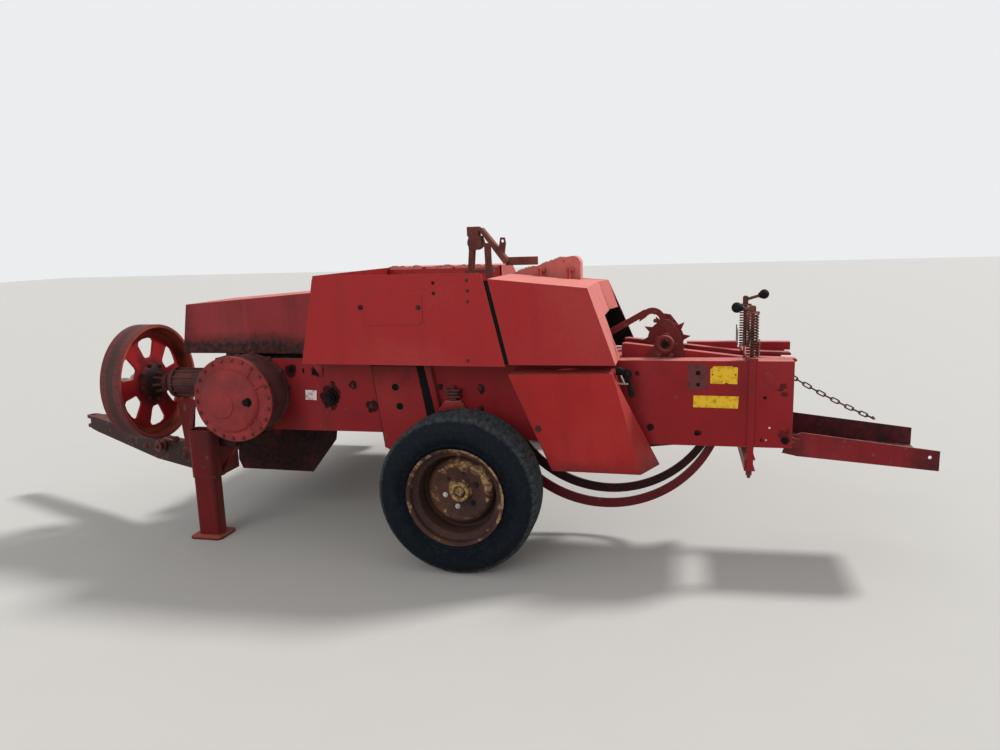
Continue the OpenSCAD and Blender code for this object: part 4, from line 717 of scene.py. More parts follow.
# %% Gearbox cover
gear = Vector((-1.230, -0.430, 0.805))
near_side = Vector((0, -1, 0))
bm = bmesh.new()
turned(bm, [(0.0, -0.001), (0.221, -0.001), (0.225, 0.002), (0.225, 0.012), (0.222, 0.015),
            (0.180, 0.016), (0.0, 0.016)], gear, near_side, 96)
turned(bm, [(0.0, 0.010), (0.170, 0.010), (0.167, 0.020), (0.160, 0.029), (0.148, 0.035), (0.110, 0.041),
            (0.06, 0.043), (0.0, 0.0435)], gear + Vector((-0.014, 0, -0.007)), near_side, 96)
turned(bm, [(0.0, 0.030), (0.075, 0.030), (0.073, 0.044), (0.069, 0.048), (0.0, 0.049)],
       gear + Vector((-0.052, 0, -0.024)), near_side, 72)
# ribs across the crescent between dome and flange
for degrees in (-52, -24, 40, 58):
    arm = Vector((math.cos(math.radians(degrees)), 0, -math.sin(math.radians(degrees))))
    bar(bm, gear + arm * 0.135 + near_side * 0.020, gear + arm * 0.202 + near_side * 0.014, 0.0075, 10,
        0.005)
# thick rim of the housing behind, seen above and beside the flange
turned(bm, [(0.205, -0.006), (0.2215, -0.006), (0.2215, 0.001), (0.205, 0.001)], gear, near_side, 96)
piece("gearbox_cover_form", bm, cover_iron, "root", 30.0, ("gearbox_cover",))

bm = bmesh.new()
bolt_circle = 0.208
for a in angles(22, 4):
    bolt(bm, gear + Vector((bolt_circle * math.cos(a), -0.016, bolt_circle * math.sin(a))), near_side,
         0.0085)
piece("gearbox_bolts", bm, stud_iron, "root")

bm = bmesh.new()
plug = gear + Vector((0.096, -0.030, -0.007))
stacked(bm, plug, near_side, (0.0, 0.010, 0.027, 24), (0.009, 0.022, 0.020, 6), (0.020, 0.025, 0.009, 12))
piece("filler_plug", bm, black_rubber, "root")

# %% [markdown]
# ## Flywheel finish
# The belt face of the flywheel is brown with a dark band where nothing rubs,
# the inside of its rim glows orange with new rust, and the web keeps its red.
# How far a point lies from the shaft tells which of them it belongs to.

# %% Flywheel finish
fly = Vector((-1.850, -0.190, 0.845))

def flywheel_finish(name, axle):
    material, tree = fresh_material(name)
    place = add(tree, "ShaderNodeTexCoord").outputs["Object"]
    centred, axes, out = round_axle(tree, place, axle, "Y")
    cloud = noise(tree, place, 9.0, 7.0)
    grain = noise(tree, place, 70.0, 4.0)
    web = mixed(tree, ramp(tree, cloud, 0.50, 0.72), (0.300, 0.012, 0.015), (0.120, 0.009, 0.010))
    # the web darkens towards the hub: painted shade round the hub
    web = mixed(tree, ramp(tree, plus(tree, out, times(tree, cloud, 0.10)), 0.200, 0.135), web,
                (0.022, 0.010, 0.010))
    inner = mixed(tree, ramp(tree, cloud, 0.42, 0.62), (0.330, 0.062, 0.036), (0.180, 0.036, 0.026))
    colour = mixed(tree, ramp(tree, out, 0.262, 0.268), web, inner)
    middle = size_of(tree, plus(tree, axes["X"], 0.062))
    band = ramp(tree, plus(tree, middle, centred_noise(tree, cloud, 0.03)), 0.026, 0.016)
    belt = mixed(tree, band, (0.130, 0.032, 0.033), (0.056, 0.031, 0.028))
    belt = mixed(tree, ramp(tree, grain, 0.45, 0.75), belt, (0.066, 0.024, 0.022))
    colour = mixed(tree, ramp(tree, out, 0.3195, 0.3215), colour, belt)
    return surface(material, colour, 0.65, plus(tree, cloud, times(tree, grain, 0.3)), 0.35, 0.003,
                   gloss=0.15)

turned_paint = flywheel_finish("turned_flywheel_paint", fly - middle_of_outline)

# %% [markdown]
# ## Sheets and castings that keep their form
# Walls, shields, beams and the flywheel already have the right shape. Their
# merged copies only gain soft edges: folded sheet bends at about 2 mm, and
# sawn bars are broken by hand with a file.

# %% Soft-edged copies
for node, finish, slot, edge in (
        ("twine_box", red_paint, "red_paint", 0.0012),
        ("lower_shield", shield_paint, "red_paint", 0.0012),
        ("drive_cover", drive_paint, "red_paint", 0.0012),
        ("crank_cover", crank_paint, "red_paint", 0.0012),
        ("feed_hood", red_paint, "red_paint", 0.0012),
        ("left_wall", wall_paint, "red_paint", 0.0015),
        ("right_wall", wall_paint, "red_paint", 0.0015),
        ("tension_rails", wall_paint, "dark_red_paint", 0.003),
        ("tension_frame", wall_paint, "dark_red_paint", 0.0015),
        ("axle_plates", plate_paint, "red_paint", 0.0015),
        ("axle_beam", dirty_paint, "dark_red_paint", 0.0),
        ("chamber_roof", wall_paint, "dark_red_paint", 0.001),
        ("chamber_floor", floor_steel, "dark_red_paint", 0.0015),
        ("feed_deck", floor_steel, "dark_red_paint", 0.001),
        ("plunger", floor_steel, "worn_steel", 0.002),
        ("pickup_pivots", dirty_paint, "dark_red_paint", 0.001),
        ("chute_hinges", bracket_paint, "rusty_iron", 0.001),
        ("spindles", gear_iron, "worn_steel", 0.0015),
        ("front_frame", front_paint, "dark_red_paint", 0.003),
        ("drawbar_mount", bracket_paint, "dark_red_paint", 0.002),
        ("stand_sleeve", stand_paint, "red_paint", 0.0015),
        ("star_bracket", bracket_paint, "rusty_iron", 0.002),
        ("needle_pivots", wall_paint, "dark_red_paint", 0.002),
        ("gearbox_housing", gear_iron, "rusty_iron", 0.003),
        ("knotters", gear_iron, "rusty_iron", 0.001),
        ("packer", linkage_iron, "rusty_iron", 0.0015)):
    refined(node, finish, "root", edge)
for node, finish, body, slot, edge in (
        ("knotter_cover", red_paint, "knotter_lid", "red_paint", 0.0012),
        ("flywheel", turned_paint, "flywheel", "red_paint", 0.0025),
        ("needles", needle_paint, "needles", "dark_red_paint", 0.002),
        ("needle_yoke", needle_paint, "needles", "dark_red_paint", 0.002),
        ("star_wheel", star_paint, "star_wheel", "dark_red_paint", 0.0015),
        ("drawbar", drawbar_paint, "drawbar", "dark_red_paint", 0.004),
        ("stand_leg", stand_paint, "stand", "dark_red_paint", 0.002),
        ("chute", chute_paint, "chute", "dark_red_paint", 0.0012),
        ("pickup_frame", pickup_paint, "pickup", "dark_red_paint", 0.0)):
    refined(node, finish, body, edge)

# %% [markdown]
# ## Flywheel fittings
# Behind the flywheel a slip hub with eight ribs clamps the wheel to the
# gearbox's shaft; a ring of bolts holds it. They are bars and bolts set round
# the shaft.

# %% Flywheel fittings
bm = bmesh.new()
for a in angles(8, 10):
    arm = Vector((0, math.cos(a), math.sin(a)))
    bar(bm, fly + arm * 0.058 + Vector((-0.004, 0, 0)), fly + arm * 0.040 + Vector((0.060, 0, 0)),
        0.009, 8, 0.006)
    bolt(bm, fly + arm * 0.104 + Vector((-0.036, 0, 0)), (1, 0, 0), 0.0105)
turned(bm, [(0.029, 0.040), (0.046, 0.040), (0.050, 0.046), (0.050, 0.062), (0.044, 0.068),
            (0.029, 0.068)], fly, (1, 0, 0), 64)
piece("flywheel_fittings", bm, gear_iron, "flywheel")

# %% [markdown]
# The input shaft is a splined stub that takes the drive. Its six keys are
# bars along it, and the end is chamfered so a yoke slides on.

# %% Splined input shaft
nose = fly + Vector((-0.130, 0, 0))
bm = bmesh.new()
turned(bm, [(0.0, 0.0), (0.048, 0.0), (0.048, 0.030), (0.043, 0.038), (0.024, 0.040), (0.0152, 0.041),
            (0.0152, 0.136), (0.013, 0.140), (0.0, 0.140)], nose, (-1, 0, 0), 64)
for a in angles(6, 15):
    arm = Vector((0, math.cos(a), math.sin(a)))
    across = Vector((0, -math.sin(a), math.cos(a)))
    middle = nose + arm * 0.0150 + Vector((-0.089, 0, 0))
    turned_key = Matrix((Vector((1, 0, 0)), across, arm)).transposed().to_4x4()
    bmesh.ops.create_cube(bm, size=1.0, matrix=Matrix.Translation(middle) @ turned_key
                          @ Matrix.Diagonal((0.096, 0.0080, 0.0050, 1.0)))
piece("input_shaft", bm, bare_steel, "flywheel", 30.0, ("pto_shaft",))

# %% [markdown]
# ## Fasteners
# A sheet-metal machine is read by its bolts. Each row of the table gives the
# middle of a bolt, and the place comes from the photograph: the pixel was
# followed to the sheet that carries it. One mesh holds all that sit on one
# body, since they never move apart.

# %% Bolts on the left side
shield, lid, wall = -0.424, -0.420, -0.240
bm = bmesh.new()
for x, z in ((-0.496, 1.274), (-0.198, 1.271)):
    turned(bm, [(0.0, 0.0), (0.0115, 0.0), (0.0115, 0.003), (0.009, 0.006), (0.0, 0.0068)],
           Vector((x, shield, z)), near_side, 20)
    brick(bm, (x - 0.0075, shield - 0.0080, z - 0.0012), (x + 0.0075, shield - 0.006, z + 0.0012))
for x, z in ((-0.120, 1.386), (-0.119, 1.337), (0.046, 1.395), (0.049, 1.346), (0.047, 1.296),
             (0.038, 1.013)):
    bolt(bm, (x, lid, z), near_side, 0.0062, 0.0)
bolt(bm, (0.372, lid, 0.688), near_side, 0.0115)
for x, z in ((-0.166, 0.847), (0.050, 0.845), (0.047, 0.737), (-0.767, 0.848), (-0.640, 0.850),
             (-0.545, 0.742), (-1.330, 0.930), (-1.330, 0.660)):
    bolt(bm, (x, wall, z), near_side, 0.0105, 0.25)
for x, y in ((-0.80, -0.23), (-0.42, -0.23), (-0.10, -0.23)):
    bolt(bm, (x, y, 0.995), (0, 0, 1), 0.008)
piece("left_side_bolts", bm, bolt_steel, "root")

# %% Bolts on the right side and the hood
bm = bmesh.new()
for y in (0.68, 0.95, 1.22, 1.44):
    bolt(bm, (-0.805, y, 1.10), (-1, 0, 0.25), 0.008, 0.0)
    bolt(bm, (-0.020, y, 1.05), (1, 0, 0), 0.008, 0.0)
for x in (-0.70, -0.45, -0.20, -0.06):
    bolt(bm, (x, 1.500, 1.03), (0, 1, 0), 0.008, 0.0)
for x, z in ((0.20, 1.05), (0.45, 1.05), (0.20, 1.34), (0.45, 1.40)):
    bolt(bm, (x, 0.240, z), (0, 1, 0), 0.008, 0.0)
for x, z in ((-1.30, 0.92), (-1.30, 0.66), (-0.80, 0.92), (0.30, 0.92), (0.90, 0.93), (0.90, 0.64),
             (1.20, 0.80), (1.46, 0.93)):
    bolt(bm, (x, 0.240, z), (0, 1, 0), 0.0105)
for x in (-1.05, -0.75, -0.45, -0.15):
    for y in (0.45, 0.85, 1.25, 1.60):
        bolt(bm, (x, y, 0.592), (0, 0, -1), 0.008, 0.0)
piece("right_side_bolts", bm, bolt_steel, "root")

# %% [markdown]
# ## Plates and patches on the left wall
# Two thin yellow plates and a small pale sticker stay blank. They are sheets
# with clipped corners, standing 1 mm off the wall, and one has a torn corner.
# Beside them a grey patch shows where a bracket was cut away, with two holes.

# %% Blank plates
def flat_finish(name, clean, dirt, scale=40.0, rough=0.6):
    material, tree = fresh_material(name)
    place = add(tree, "ShaderNodeTexCoord").outputs["Object"]
    marks = ramp(tree, noise(tree, place, scale, 6.0), 0.48, 0.72)
    grain = noise(tree, place, 220.0, 2.0)
    colour = mixed(tree, marks, clean, dirt)
    return surface(material, colour, rough, plus(tree, marks, grain), 0.2, 0.0008, gloss=0.08)

yellow = flat_finish("faded_yellow_plate", (0.68, 0.42, 0.028), (0.36, 0.18, 0.016))
pale = flat_finish("pale_sticker", (0.66, 0.58, 0.56), (0.36, 0.16, 0.15), 70.0)
patch_grey = flat_finish("bare_grey_patch", (0.118, 0.034, 0.038), (0.050, 0.020, 0.022), 30.0, 0.75)
oil_stain = flat_finish("dried_oil", (0.024, 0.004, 0.005), (0.105, 0.008, 0.010), 55.0, 0.6)
thin_dirt = flat_finish("thin_dirt", (0.085, 0.012, 0.013), (0.150, 0.009, 0.011), 80.0, 0.7)
# black for holes, bores, gaps and the lining behind the lid: painted shade, with grime in one joint
shade_and_grime_black = flat_finish("painted_shade_and_grime", (0.0030, 0.0022, 0.0026), (0.0080, 0.0040, 0.0040))

bm = bmesh.new()
on_wall(bm, [(1.164, 0.886), (1.168, 0.882), (1.226, 0.882), (1.236, 0.889), (1.246, 0.883),
             (1.284, 0.881), (1.286, 0.885), (1.287, 0.958), (1.280, 0.962), (1.268, 0.960),
             (1.262, 0.966), (1.180, 0.966), (1.172, 0.958), (1.164, 0.950)], 0.0016)
on_wall(bm, [(1.088, 0.768), (1.291, 0.765), (1.294, 0.823), (1.089, 0.825)], 0.0012)
piece("yellow_plates", bm, yellow, "root")
bm = bmesh.new()
# black dots and squares inside holes: painted shade
for x in (1.1735, 1.2775):
    bar(bm, (x, wall - 0.0026, 0.926), (x, wall - 0.001, 0.926), 0.0035, 12)
for x, z, half in ((1.108, 0.933, 0.0095), (1.109, 0.877, 0.0080)):
    brick(bm, (x - half, wall - 0.0022, z - half), (x + half, wall - 0.0008, z + half), 0.0006)
for x, z, radius in ((0.826, 0.930, 0.0092), (0.888, 0.661, 0.0082), (1.112, 0.642, 0.0082),
                     (1.410, 0.818, 0.0082)):
    bar(bm, (x, wall + 0.0022, z), (x, wall + 0.0032, z), radius, 14)
bar(bm, (1.106, wall - 0.0010, 0.640), (1.106, wall - 0.0004, 0.640), 0.0120, 16)
# black bores inside the two rings: painted shade
for x, z in ((-0.405, 0.845), (-0.385, 0.745)):
    bar(bm, (x, wall - 0.0140, z), (x, wall - 0.0010, z), 0.0180, 24)
# painted shade: a black strip for the shaded side of the angle post behind the axle plate
on_wall(bm, [(-0.289, 0.985), (-0.247, 0.985), (-0.184, 0.687), (-0.238, 0.686)], 0.0132)
# a black line along the axle plate's front edge: painted shade and grime in the joint
on_wall(bm, [(-0.5365, 0.985), (-0.5305, 0.985), (-0.4735, 0.525), (-0.4800, 0.520)], 0.0100)
on_wall(bm, [(-0.930, 0.912), (-0.920, 0.912), (-0.920, 0.938), (-0.930, 0.938)], 0.0014)
on_wall(bm, [(-0.880, 0.902), (-0.866, 0.938), (-0.872, 0.952), (-0.820, 0.952), (-0.838, 0.908)], 0.0014)
piece("shaded_holes_and_gaps", bm, shade_and_grime_black, "root")
bm = bmesh.new()
on_wall(bm, [(1.062, 0.852), (1.150, 0.853), (1.154, 0.900), (1.150, 0.972), (1.066, 0.974),
             (1.060, 0.920)], 0.0010)
piece("bare_patch", bm, patch_grey, "root")
bm = bmesh.new()
on_wall(bm, [(-0.924, 0.768), (-0.860, 0.766), (-0.856, 0.819), (-0.921, 0.821)], 0.0012)
piece("pale_sticker_plate", bm, pale, "root")

# %% [markdown]
# Oil creeps out round every bolt and pin of the plunger and dries as a dark,
# ragged ring. Each stain is a circle whose corners are pushed in and out by
# seeded noise; it lies half a millimetre proud of the paint.

# %% Oil stains
corners_of_stain = 40

def stain(bm, x, z, radius, ragged=0.35, stretch=1.0):
    made = bmesh.ops.create_circle(bm, cap_ends=True, segments=corners_of_stain, radius=radius,
                                   matrix=facing(Vector((x, wall - 0.0005, z)), near_side))
    reach = 1.0
    for dot in made["verts"]:
        reach = min(1.0 + ragged, max(1.0 - ragged, reach + drip.uniform(-0.22, 0.22)))
        middle = Vector((x, dot.co.y, z))
        arm = dot.co - middle
        dot.co = middle + Vector((arm.x, 0, arm.z * (stretch if arm.z < 0 else 1.0))) * reach

drip = random.Random(5)
bm = bmesh.new()
for x, z, radius, stretch in ((-0.770, 0.783, 0.052, 1.5), (-0.767, 0.848, 0.020, 1.3),
                              (-0.640, 0.850, 0.022, 1.2), (-0.545, 0.742, 0.026, 1.2),
                              (-1.000, 0.935, 0.026, 1.4), (-0.166, 0.847, 0.018, 1.3),
                              (0.050, 0.845, 0.017, 1.4), (0.047, 0.737, 0.015, 1.2),
                              (-0.845, 0.925, 0.030, 1.1), (0.826, 0.930, 0.013, 1.2),
                              (0.888, 0.661, 0.014, 1.3), (1.112, 0.642, 0.014, 1.2),
                              (1.401, 0.617, 0.008, 1.4), (-0.090, 0.760, 0.050, 1.0)):
    stain(bm, x, z, radius, stretch=stretch)
bmesh.ops.solidify(bm, geom=bm.faces[:], thickness=-0.0003)
piece("oil_stains", bm, oil_stain, "root", 80.0)

# %% [markdown]
# ## Small fittings on the left side
# The plunger's adjusting nut stands in black grease on the front wall. A
# spring bolt sits above the tyre, an angle post runs down behind the axle
# plate, and a pressed slot lies slanting on the rear wall.

# %% Fittings on the left wall
bm = bmesh.new()
nut = Vector((-0.770, wall, 0.783))
turned(bm, [(0.0, 0.0), (0.040, 0.0), (0.040, 0.006), (0.036, 0.008), (0.0, 0.008)], nut, near_side, 32)
stacked(bm, nut, near_side, (0.006, 0.026, 0.029, 6), (0.024, 0.040, 0.016, 14, 0.014))
for a in angles(10):
    arm = Vector((math.cos(a), 0, math.sin(a)))
    bar(bm, nut + arm * 0.034 + near_side * 0.004, nut + arm * 0.043 + near_side * 0.006, 0.0065, 8,
        0.004)
stacked(bm, Vector((-1.000, wall, 0.935)), near_side, (0.0, 0.016, 0.017, 8), (0.015, 0.026, 0.009, 12))
piece("greasy_fittings", bm, grease_black, "root")

bm = bmesh.new()
on_wall(bm, [(-0.868, 0.955), (-0.812, 0.955), (-0.812, 0.895), (-0.826, 0.895)], 0.006, 0.001)
on_wall(bm, [(-0.247, 0.985), (-0.224, 0.985), (-0.161, 0.690), (-0.184, 0.687)], 0.022, 0.002)
on_wall(bm, [(-0.224, 0.985), (-0.216, 0.985), (-0.153, 0.690), (-0.161, 0.690)], 0.034, 0.002)
on_wall(bm, [(-0.168, 0.735), (-0.030, 0.735), (-0.052, 0.782), (-0.132, 0.782)], 0.050, 0.003)
for reach, height in ((0.0215, 0.0035), (0.0145, 0.0055)):
    outline = []
    for x, z, first in ((1.417, 0.923, 0), (1.452, 0.876, 180)):
        round_end = [math.radians(first + turn + 36.7) for turn in range(0, 181, 15)]
        outline += [(x + reach * math.cos(a), z + reach * math.sin(a)) for a in round_end]
    on_wall(bm, outline, height, 0.0010)
piece("wall_fittings", bm, wall_paint, "root")

bm = bmesh.new()
for z, half in ((0.838, 0.038), (0.822, 0.030), (0.806, 0.038)):
    brick(bm, (-0.090 - half, wall - 0.044, z - 0.0045), (-0.090 + half, wall - 0.0002, z + 0.0045),
          0.001)
bar(bm, (-0.090, wall - 0.024, 0.780), (-0.090, wall - 0.024, 0.858), 0.009, 14)
bar(bm, (-0.090, wall - 0.024, 0.784), (-0.090, wall - 0.024, 0.800), 0.019, 6)
for x, z in ((-0.405, 0.845), (-0.385, 0.745)):
    turned(bm, [(0.0175, -0.010), (0.0195, -0.010), (0.0195, 0.0008), (0.0175, 0.0008)],
           Vector((x, wall - 0.012, z)), near_side, 32)
piece("spring_bolt", bm, gear_iron, "root")

# %% [markdown]
# ## Latch
# A black rubber latch pulls the lower shield shut: its head hooks over a
# round knob on the rear flange, the strap hangs down and ends in a short
# handle. A bent steel clip holds it to the flange.

# %% Latch
bm = bmesh.new()
knob = Vector((0.755, -0.330, 0.950))
bar(bm, knob + Vector((-0.020, 0, 0.006)), knob + Vector((0.016, 0, -0.002)), 0.0200, 18, 0.0180)
bar(bm, knob + Vector((-0.004, -0.026, 0.010)), knob + Vector((-0.004, 0.026, 0.010)), 0.0105, 12)
turned(bm, [(0.012, -0.006), (0.022, -0.006), (0.024, 0.0), (0.022, 0.006), (0.012, 0.006)],
       Vector((0.784, -0.322, 0.939)), (0.25, -1, 0.1), 24)
bar(bm, (0.770, -0.326, 0.946), (0.788, -0.322, 0.918), 0.0120, 10)
bar(bm, (0.784, -0.322, 0.926), (0.794, -0.322, 0.880), 0.0135, 10, 0.0100)
bar(bm, (0.794, -0.322, 0.882), (0.806, -0.324, 0.838), 0.0100, 10, 0.0150)
bar(bm, (0.804, -0.340, 0.842), (0.806, -0.306, 0.838), 0.0110, 12)
piece("rubber_latch", bm, black_rubber, "root")
bm = bmesh.new()
brick(bm, (0.730, -0.334, 0.890), (0.790, -0.318, 0.896), 0.001)
bar(bm, (0.757, -0.340, 0.936), (0.774, -0.340, 0.894), 0.0042, 10)
piece("latch_clip", bm, bright_zinc, "root")

# %% [markdown]
# ## Tension springs and cranks
# Each spring is one wire wound fifteen times round its screw. A circle of wire
# spun round the screw while it climbs gives the coil, and the ends are closed.
# Thin guides stand on both sides of it, and a crank with a black ball screws
# the spring down.

# %% Springs
bm = bmesh.new()
screw_x, screw_y, seat = 1.350, 0.205, 1.004
turns, wire, coil = 15, 0.0038, 0.0252
steps = turns * 24
foot, rise = seat + 0.0045, 0.204 - 0.009
for side in (-1, 1):
    part = bmesh.new()
    axis_at = Vector((screw_x, side * screw_y, foot))
    ring = bmesh.ops.create_circle(part, cap_ends=True, segments=8, radius=wire,
                                   matrix=Matrix.Translation(axis_at + Vector((coil, 0, 0)))
                                   @ Matrix.Rotation(math.pi / 2, 4, "X"))
    bmesh.ops.spin(part, geom=part.faces[:] + part.edges[:] + part.verts[:], cent=axis_at, axis=(0, 0, 1),
                   dvec=(0, 0, rise / steps), angle=math.tau * turns, steps=steps)
    bmesh.ops.recalc_face_normals(part, faces=part.faces)
    joined(bm, part)
piece("tension_springs_form", bm, spring_iron, "root", 60.0, ("tension_springs",))

# %% Screws, guides and cranks
bm, balls, bright = bmesh.new(), bmesh.new(), bmesh.new()
for side, swing, rise in ((-1, Vector((-0.064, 0, 0.010)), 0.030), (1, Vector((0.080, 0, 0.024)), 0.044)):
    y, top = side * screw_y, 1.208
    bar(bm, (screw_x, y, seat), (screw_x, y, top + rise), 0.0085, 16)
    for turn in range(12):
        z = 1.012 + turn * 0.0165
        bar(bm, (screw_x, y, z), (screw_x, y, z + 0.003), 0.0098, 16)
    turned(bm, [(0.009, 0.0), (0.030, 0.0), (0.031, 0.002), (0.031, 0.006), (0.029, 0.008),
                (0.009, 0.008)], Vector((screw_x, y, top)), (0, 0, 1), 40)
    bar(bm, (screw_x, y, top + 0.008), (screw_x, y, top + rise + 0.002), 0.0150, 6)
    bar(bm, (screw_x, y, top + rise), (screw_x, y, top + rise + 0.006), 0.012, 14, 0.008)
    start = Vector((screw_x, y, top + rise - 0.014))
    bar(bm, start, start + swing, 0.0075, 14)
    ball = start + swing * 1.12
    bmesh.ops.create_uvsphere(balls, u_segments=28, v_segments=16, radius=0.0245,
                              matrix=Matrix.Translation(ball))
    bar(balls, ball - swing.normalized() * 0.027, ball - swing.normalized() * 0.018, 0.013, 18, 0.016)
    # guides on both sides of the coil, and the taller stop behind
    for x in (1.3155, 1.3825):
        brick(bright, (x - 0.0012, y - 0.014, seat), (x + 0.0012, y + 0.014, 1.088), 0.0004)
    brick(bm, (1.3085, y + side * 0.016, seat), (1.3135, y + side * 0.030, 1.108), 0.001)
    # thread end and nuts under the lower channel
    bar(bm, (screw_x, y, 0.420), (screw_x, y, 0.465), 0.0085, 14)
    bar(bm, (screw_x, y, 0.450), (screw_x, y, 0.4645), 0.0155, 6)
    bar(bm, (screw_x, y, 0.434), (screw_x, y, 0.449), 0.0155, 6)
piece("tension_screws_form", bm, spring_iron, "root", 35.0, ("tension_screws",))
piece("spring_guides", bright, bare_steel, "root")
piece("crank_balls", balls, ball_plastic, "root", 60.0)

# %% [markdown]
# ## Chute chain
# Fourteen long links hang between a bolt on the wall and a stud beside the
# chute. One link is a circle of wire spun half a turn at each end, with the
# straight sides bridged; it is copied along the sag, every second one turned
# by a quarter.

# %% Chain
start, end = Vector((1.520, 0.256, 0.880)), Vector((1.990, 0.240, 0.622))
links, sag, wire, bend = 14, 0.015, 0.0035, 0.009
over = (end - start).normalized() * 0.0051
joints = [start - over + (end - start + 2 * over) * (i / links)
          - Vector((0, 0, 4 * sag * (i / links) * (1 - i / links))) for i in range(links + 1)]

def link(bm, a, b, flat):
    part = bmesh.new()
    half = (b - a).length / 2 + wire - bend + 0.0001
    for end_sign in (1, -1):
        cap = bmesh.ops.create_circle(part, segments=10, radius=wire, matrix=Matrix.Translation(
            (end_sign * half, -end_sign * bend, 0)) @ Matrix.Rotation(math.pi / 2, 4, "Y"))["verts"]
        loop = cap + list({e for v in cap for e in v.link_edges})
        bmesh.ops.spin(part, geom=loop, cent=(end_sign * half, 0, 0), axis=(0, 0, 1), angle=math.pi,
                       steps=10)
    ends = [e for e in part.edges if len(e.link_faces) == 1]
    for sign in (1, -1):
        pair = [e for e in ends if sum(v.co.y for v in e.verts) * sign > 0]
        bmesh.ops.bridge_loops(part, edges=pair)
    bmesh.ops.recalc_face_normals(part, faces=part.faces)
    turn = (b - a).to_track_quat("X", "Z").to_matrix().to_4x4()
    lay = Matrix.Rotation(0.0 if flat else math.pi / 2, 4, "X")
    bmesh.ops.transform(part, verts=part.verts, matrix=Matrix.Translation((a + b) / 2) @ turn @ lay)
    joined(bm, part)

bm = bmesh.new()
for turn in range(links):
    link(bm, joints[turn], joints[turn + 1], turn % 2 == 1)
for place, carried in ((start, 0.246), (end, 0.2203)):
    bar(bm, (place.x, carried, place.z), (place.x, place.y + 0.0085, place.z), 0.0045, 14)
    bar(bm, (place.x, place.y + 0.0045, place.z), (place.x, place.y + 0.0095, place.z), 0.0088, 6)
# the chain rides on no body, and its place is baked into the mesh
chain = piece("chute_chain_form", bm, chain_iron, None, 50.0, ("chute_chain",))
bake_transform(chain)

# %% [markdown]
# ## Torn rims
# The far rim of the twine box and the front of the drive cover are ragged
# where rust has eaten the sheet. A strip is subdivided, its upper edge is
# pushed up and down by seeded noise, and it is given the sheet's thickness.

# %% Torn rims
chance = random.Random(11)

def torn_strip(bm, start, end, depth, height, steps, thickness=0.003):
    part = bmesh.new()
    start, end, height = Vector(start), Vector(end), Vector((0, 0, height))
    foot = [part.verts.new(p) for p in (start - Vector((0, 0, depth)), end - Vector((0, 0, depth)))]
    grown = bmesh.ops.extrude_edge_only(part, edges=[part.edges.new(foot)])["geom"]
    bmesh.ops.translate(part, verts=[v for v in grown if isinstance(v, bmesh.types.BMVert)],
                        vec=(0, 0, depth))
    longways = [e for e in part.edges if abs((e.verts[0].co - e.verts[1].co).normalized().z) < 0.7]
    bmesh.ops.subdivide_edges(part, edges=longways, cuts=steps, use_grid_fill=True)
    level = 0.5
    for dot in sorted((v for v in part.verts if not v.is_wire), key=lambda v: (v.co.x, v.co.y)):
        line = start + (end - start) * ((dot.co - start).dot(end - start) / (end - start).length_squared)
        if dot.co.z > line.z - depth * 0.5:
            level = min(1.0, max(0.0, level + chance.uniform(-0.45, 0.45)))
            dot.co += height * level
    bmesh.ops.recalc_face_normals(part, faces=part.faces)
    bmesh.ops.solidify(part, geom=part.faces[:], thickness=thickness)
    joined(bm, part)

bm = bmesh.new()
torn_strip(bm, (-0.735, 0.5985, 1.429), (-0.035, 0.5985, 1.429), 0.012, 0.013, 70)
torn_strip(bm, (0.124, 0.140, 1.393), (0.300, 0.140, 1.441), 0.010, 0.011, 26)
torn_strip(bm, (0.300, 0.140, 1.441), (0.430, 0.140, 1.479), 0.010, 0.009, 20)
piece("torn_rims", bm, torn_paint, "root", 40.0)

# %% [markdown]
# ## Pickup reel
# Four bars carry spring tines through the gaps between the stripper bands. A
# tine is one wire: it is wound three times round its bar and then runs
# straight out, with the tip bent back so that it lets go of the hay. The coil
# is a circle of wire spun round the bar while it moves along it.

# %% Tine bars and their discs
reel = Vector((-1.420, 0.0, 0.450))
bands, first_band, last_band = 16, 0.306, 1.654
band_pitch = (last_band - first_band) / bands
across = Vector((0, 1, 0))
bar_circle = 0.150

def spoke(a):
    return Vector((math.cos(a), 0, -math.sin(a))), Vector((math.sin(a), 0, math.cos(a)))

arms = [spoke(a) for a in angles(4, 20)]

bm = bmesh.new()
turned(bm, [(0.0, 0.2905), (0.026, 0.2905), (0.0295, 0.294), (0.0295, 1.666), (0.026, 1.6695),
            (0.0, 1.6695)], reel, across, 40)
for y in (0.329, 0.980, 1.631):
    turned(bm, [(0.028, -0.014), (0.046, -0.014), (0.049, -0.011), (0.049, -0.003), (0.060, -0.0015),
                (0.156, -0.0015), (0.162, -0.0028), (0.1675, -0.0028), (0.1675, 0.0028),
                (0.162, 0.0028), (0.156, 0.0015), (0.060, 0.0015), (0.049, 0.003), (0.049, 0.011),
                (0.046, 0.014), (0.028, 0.014)], reel + across * y, across, 64)
    for arm, aside in arms:
        middle = reel + across * y + arm * bar_circle
        bar(bm, middle - across * 0.010, middle + across * 0.010, 0.0175, 20)
        for side in (-1, 1):
            bolt(bm, reel + across * (y - 0.003) + arm * 0.095 - aside * 0.03 * side, -across, 0.006, 0.0)
for arm, _ in arms:
    middle = reel + arm * bar_circle
    bar(bm, middle + across * 0.3165, middle + across * 1.6435, 0.0135, 16)
piece("pickup_reel_form", bm, dirty_paint, "reel", 35.0, ("pickup_reel",))

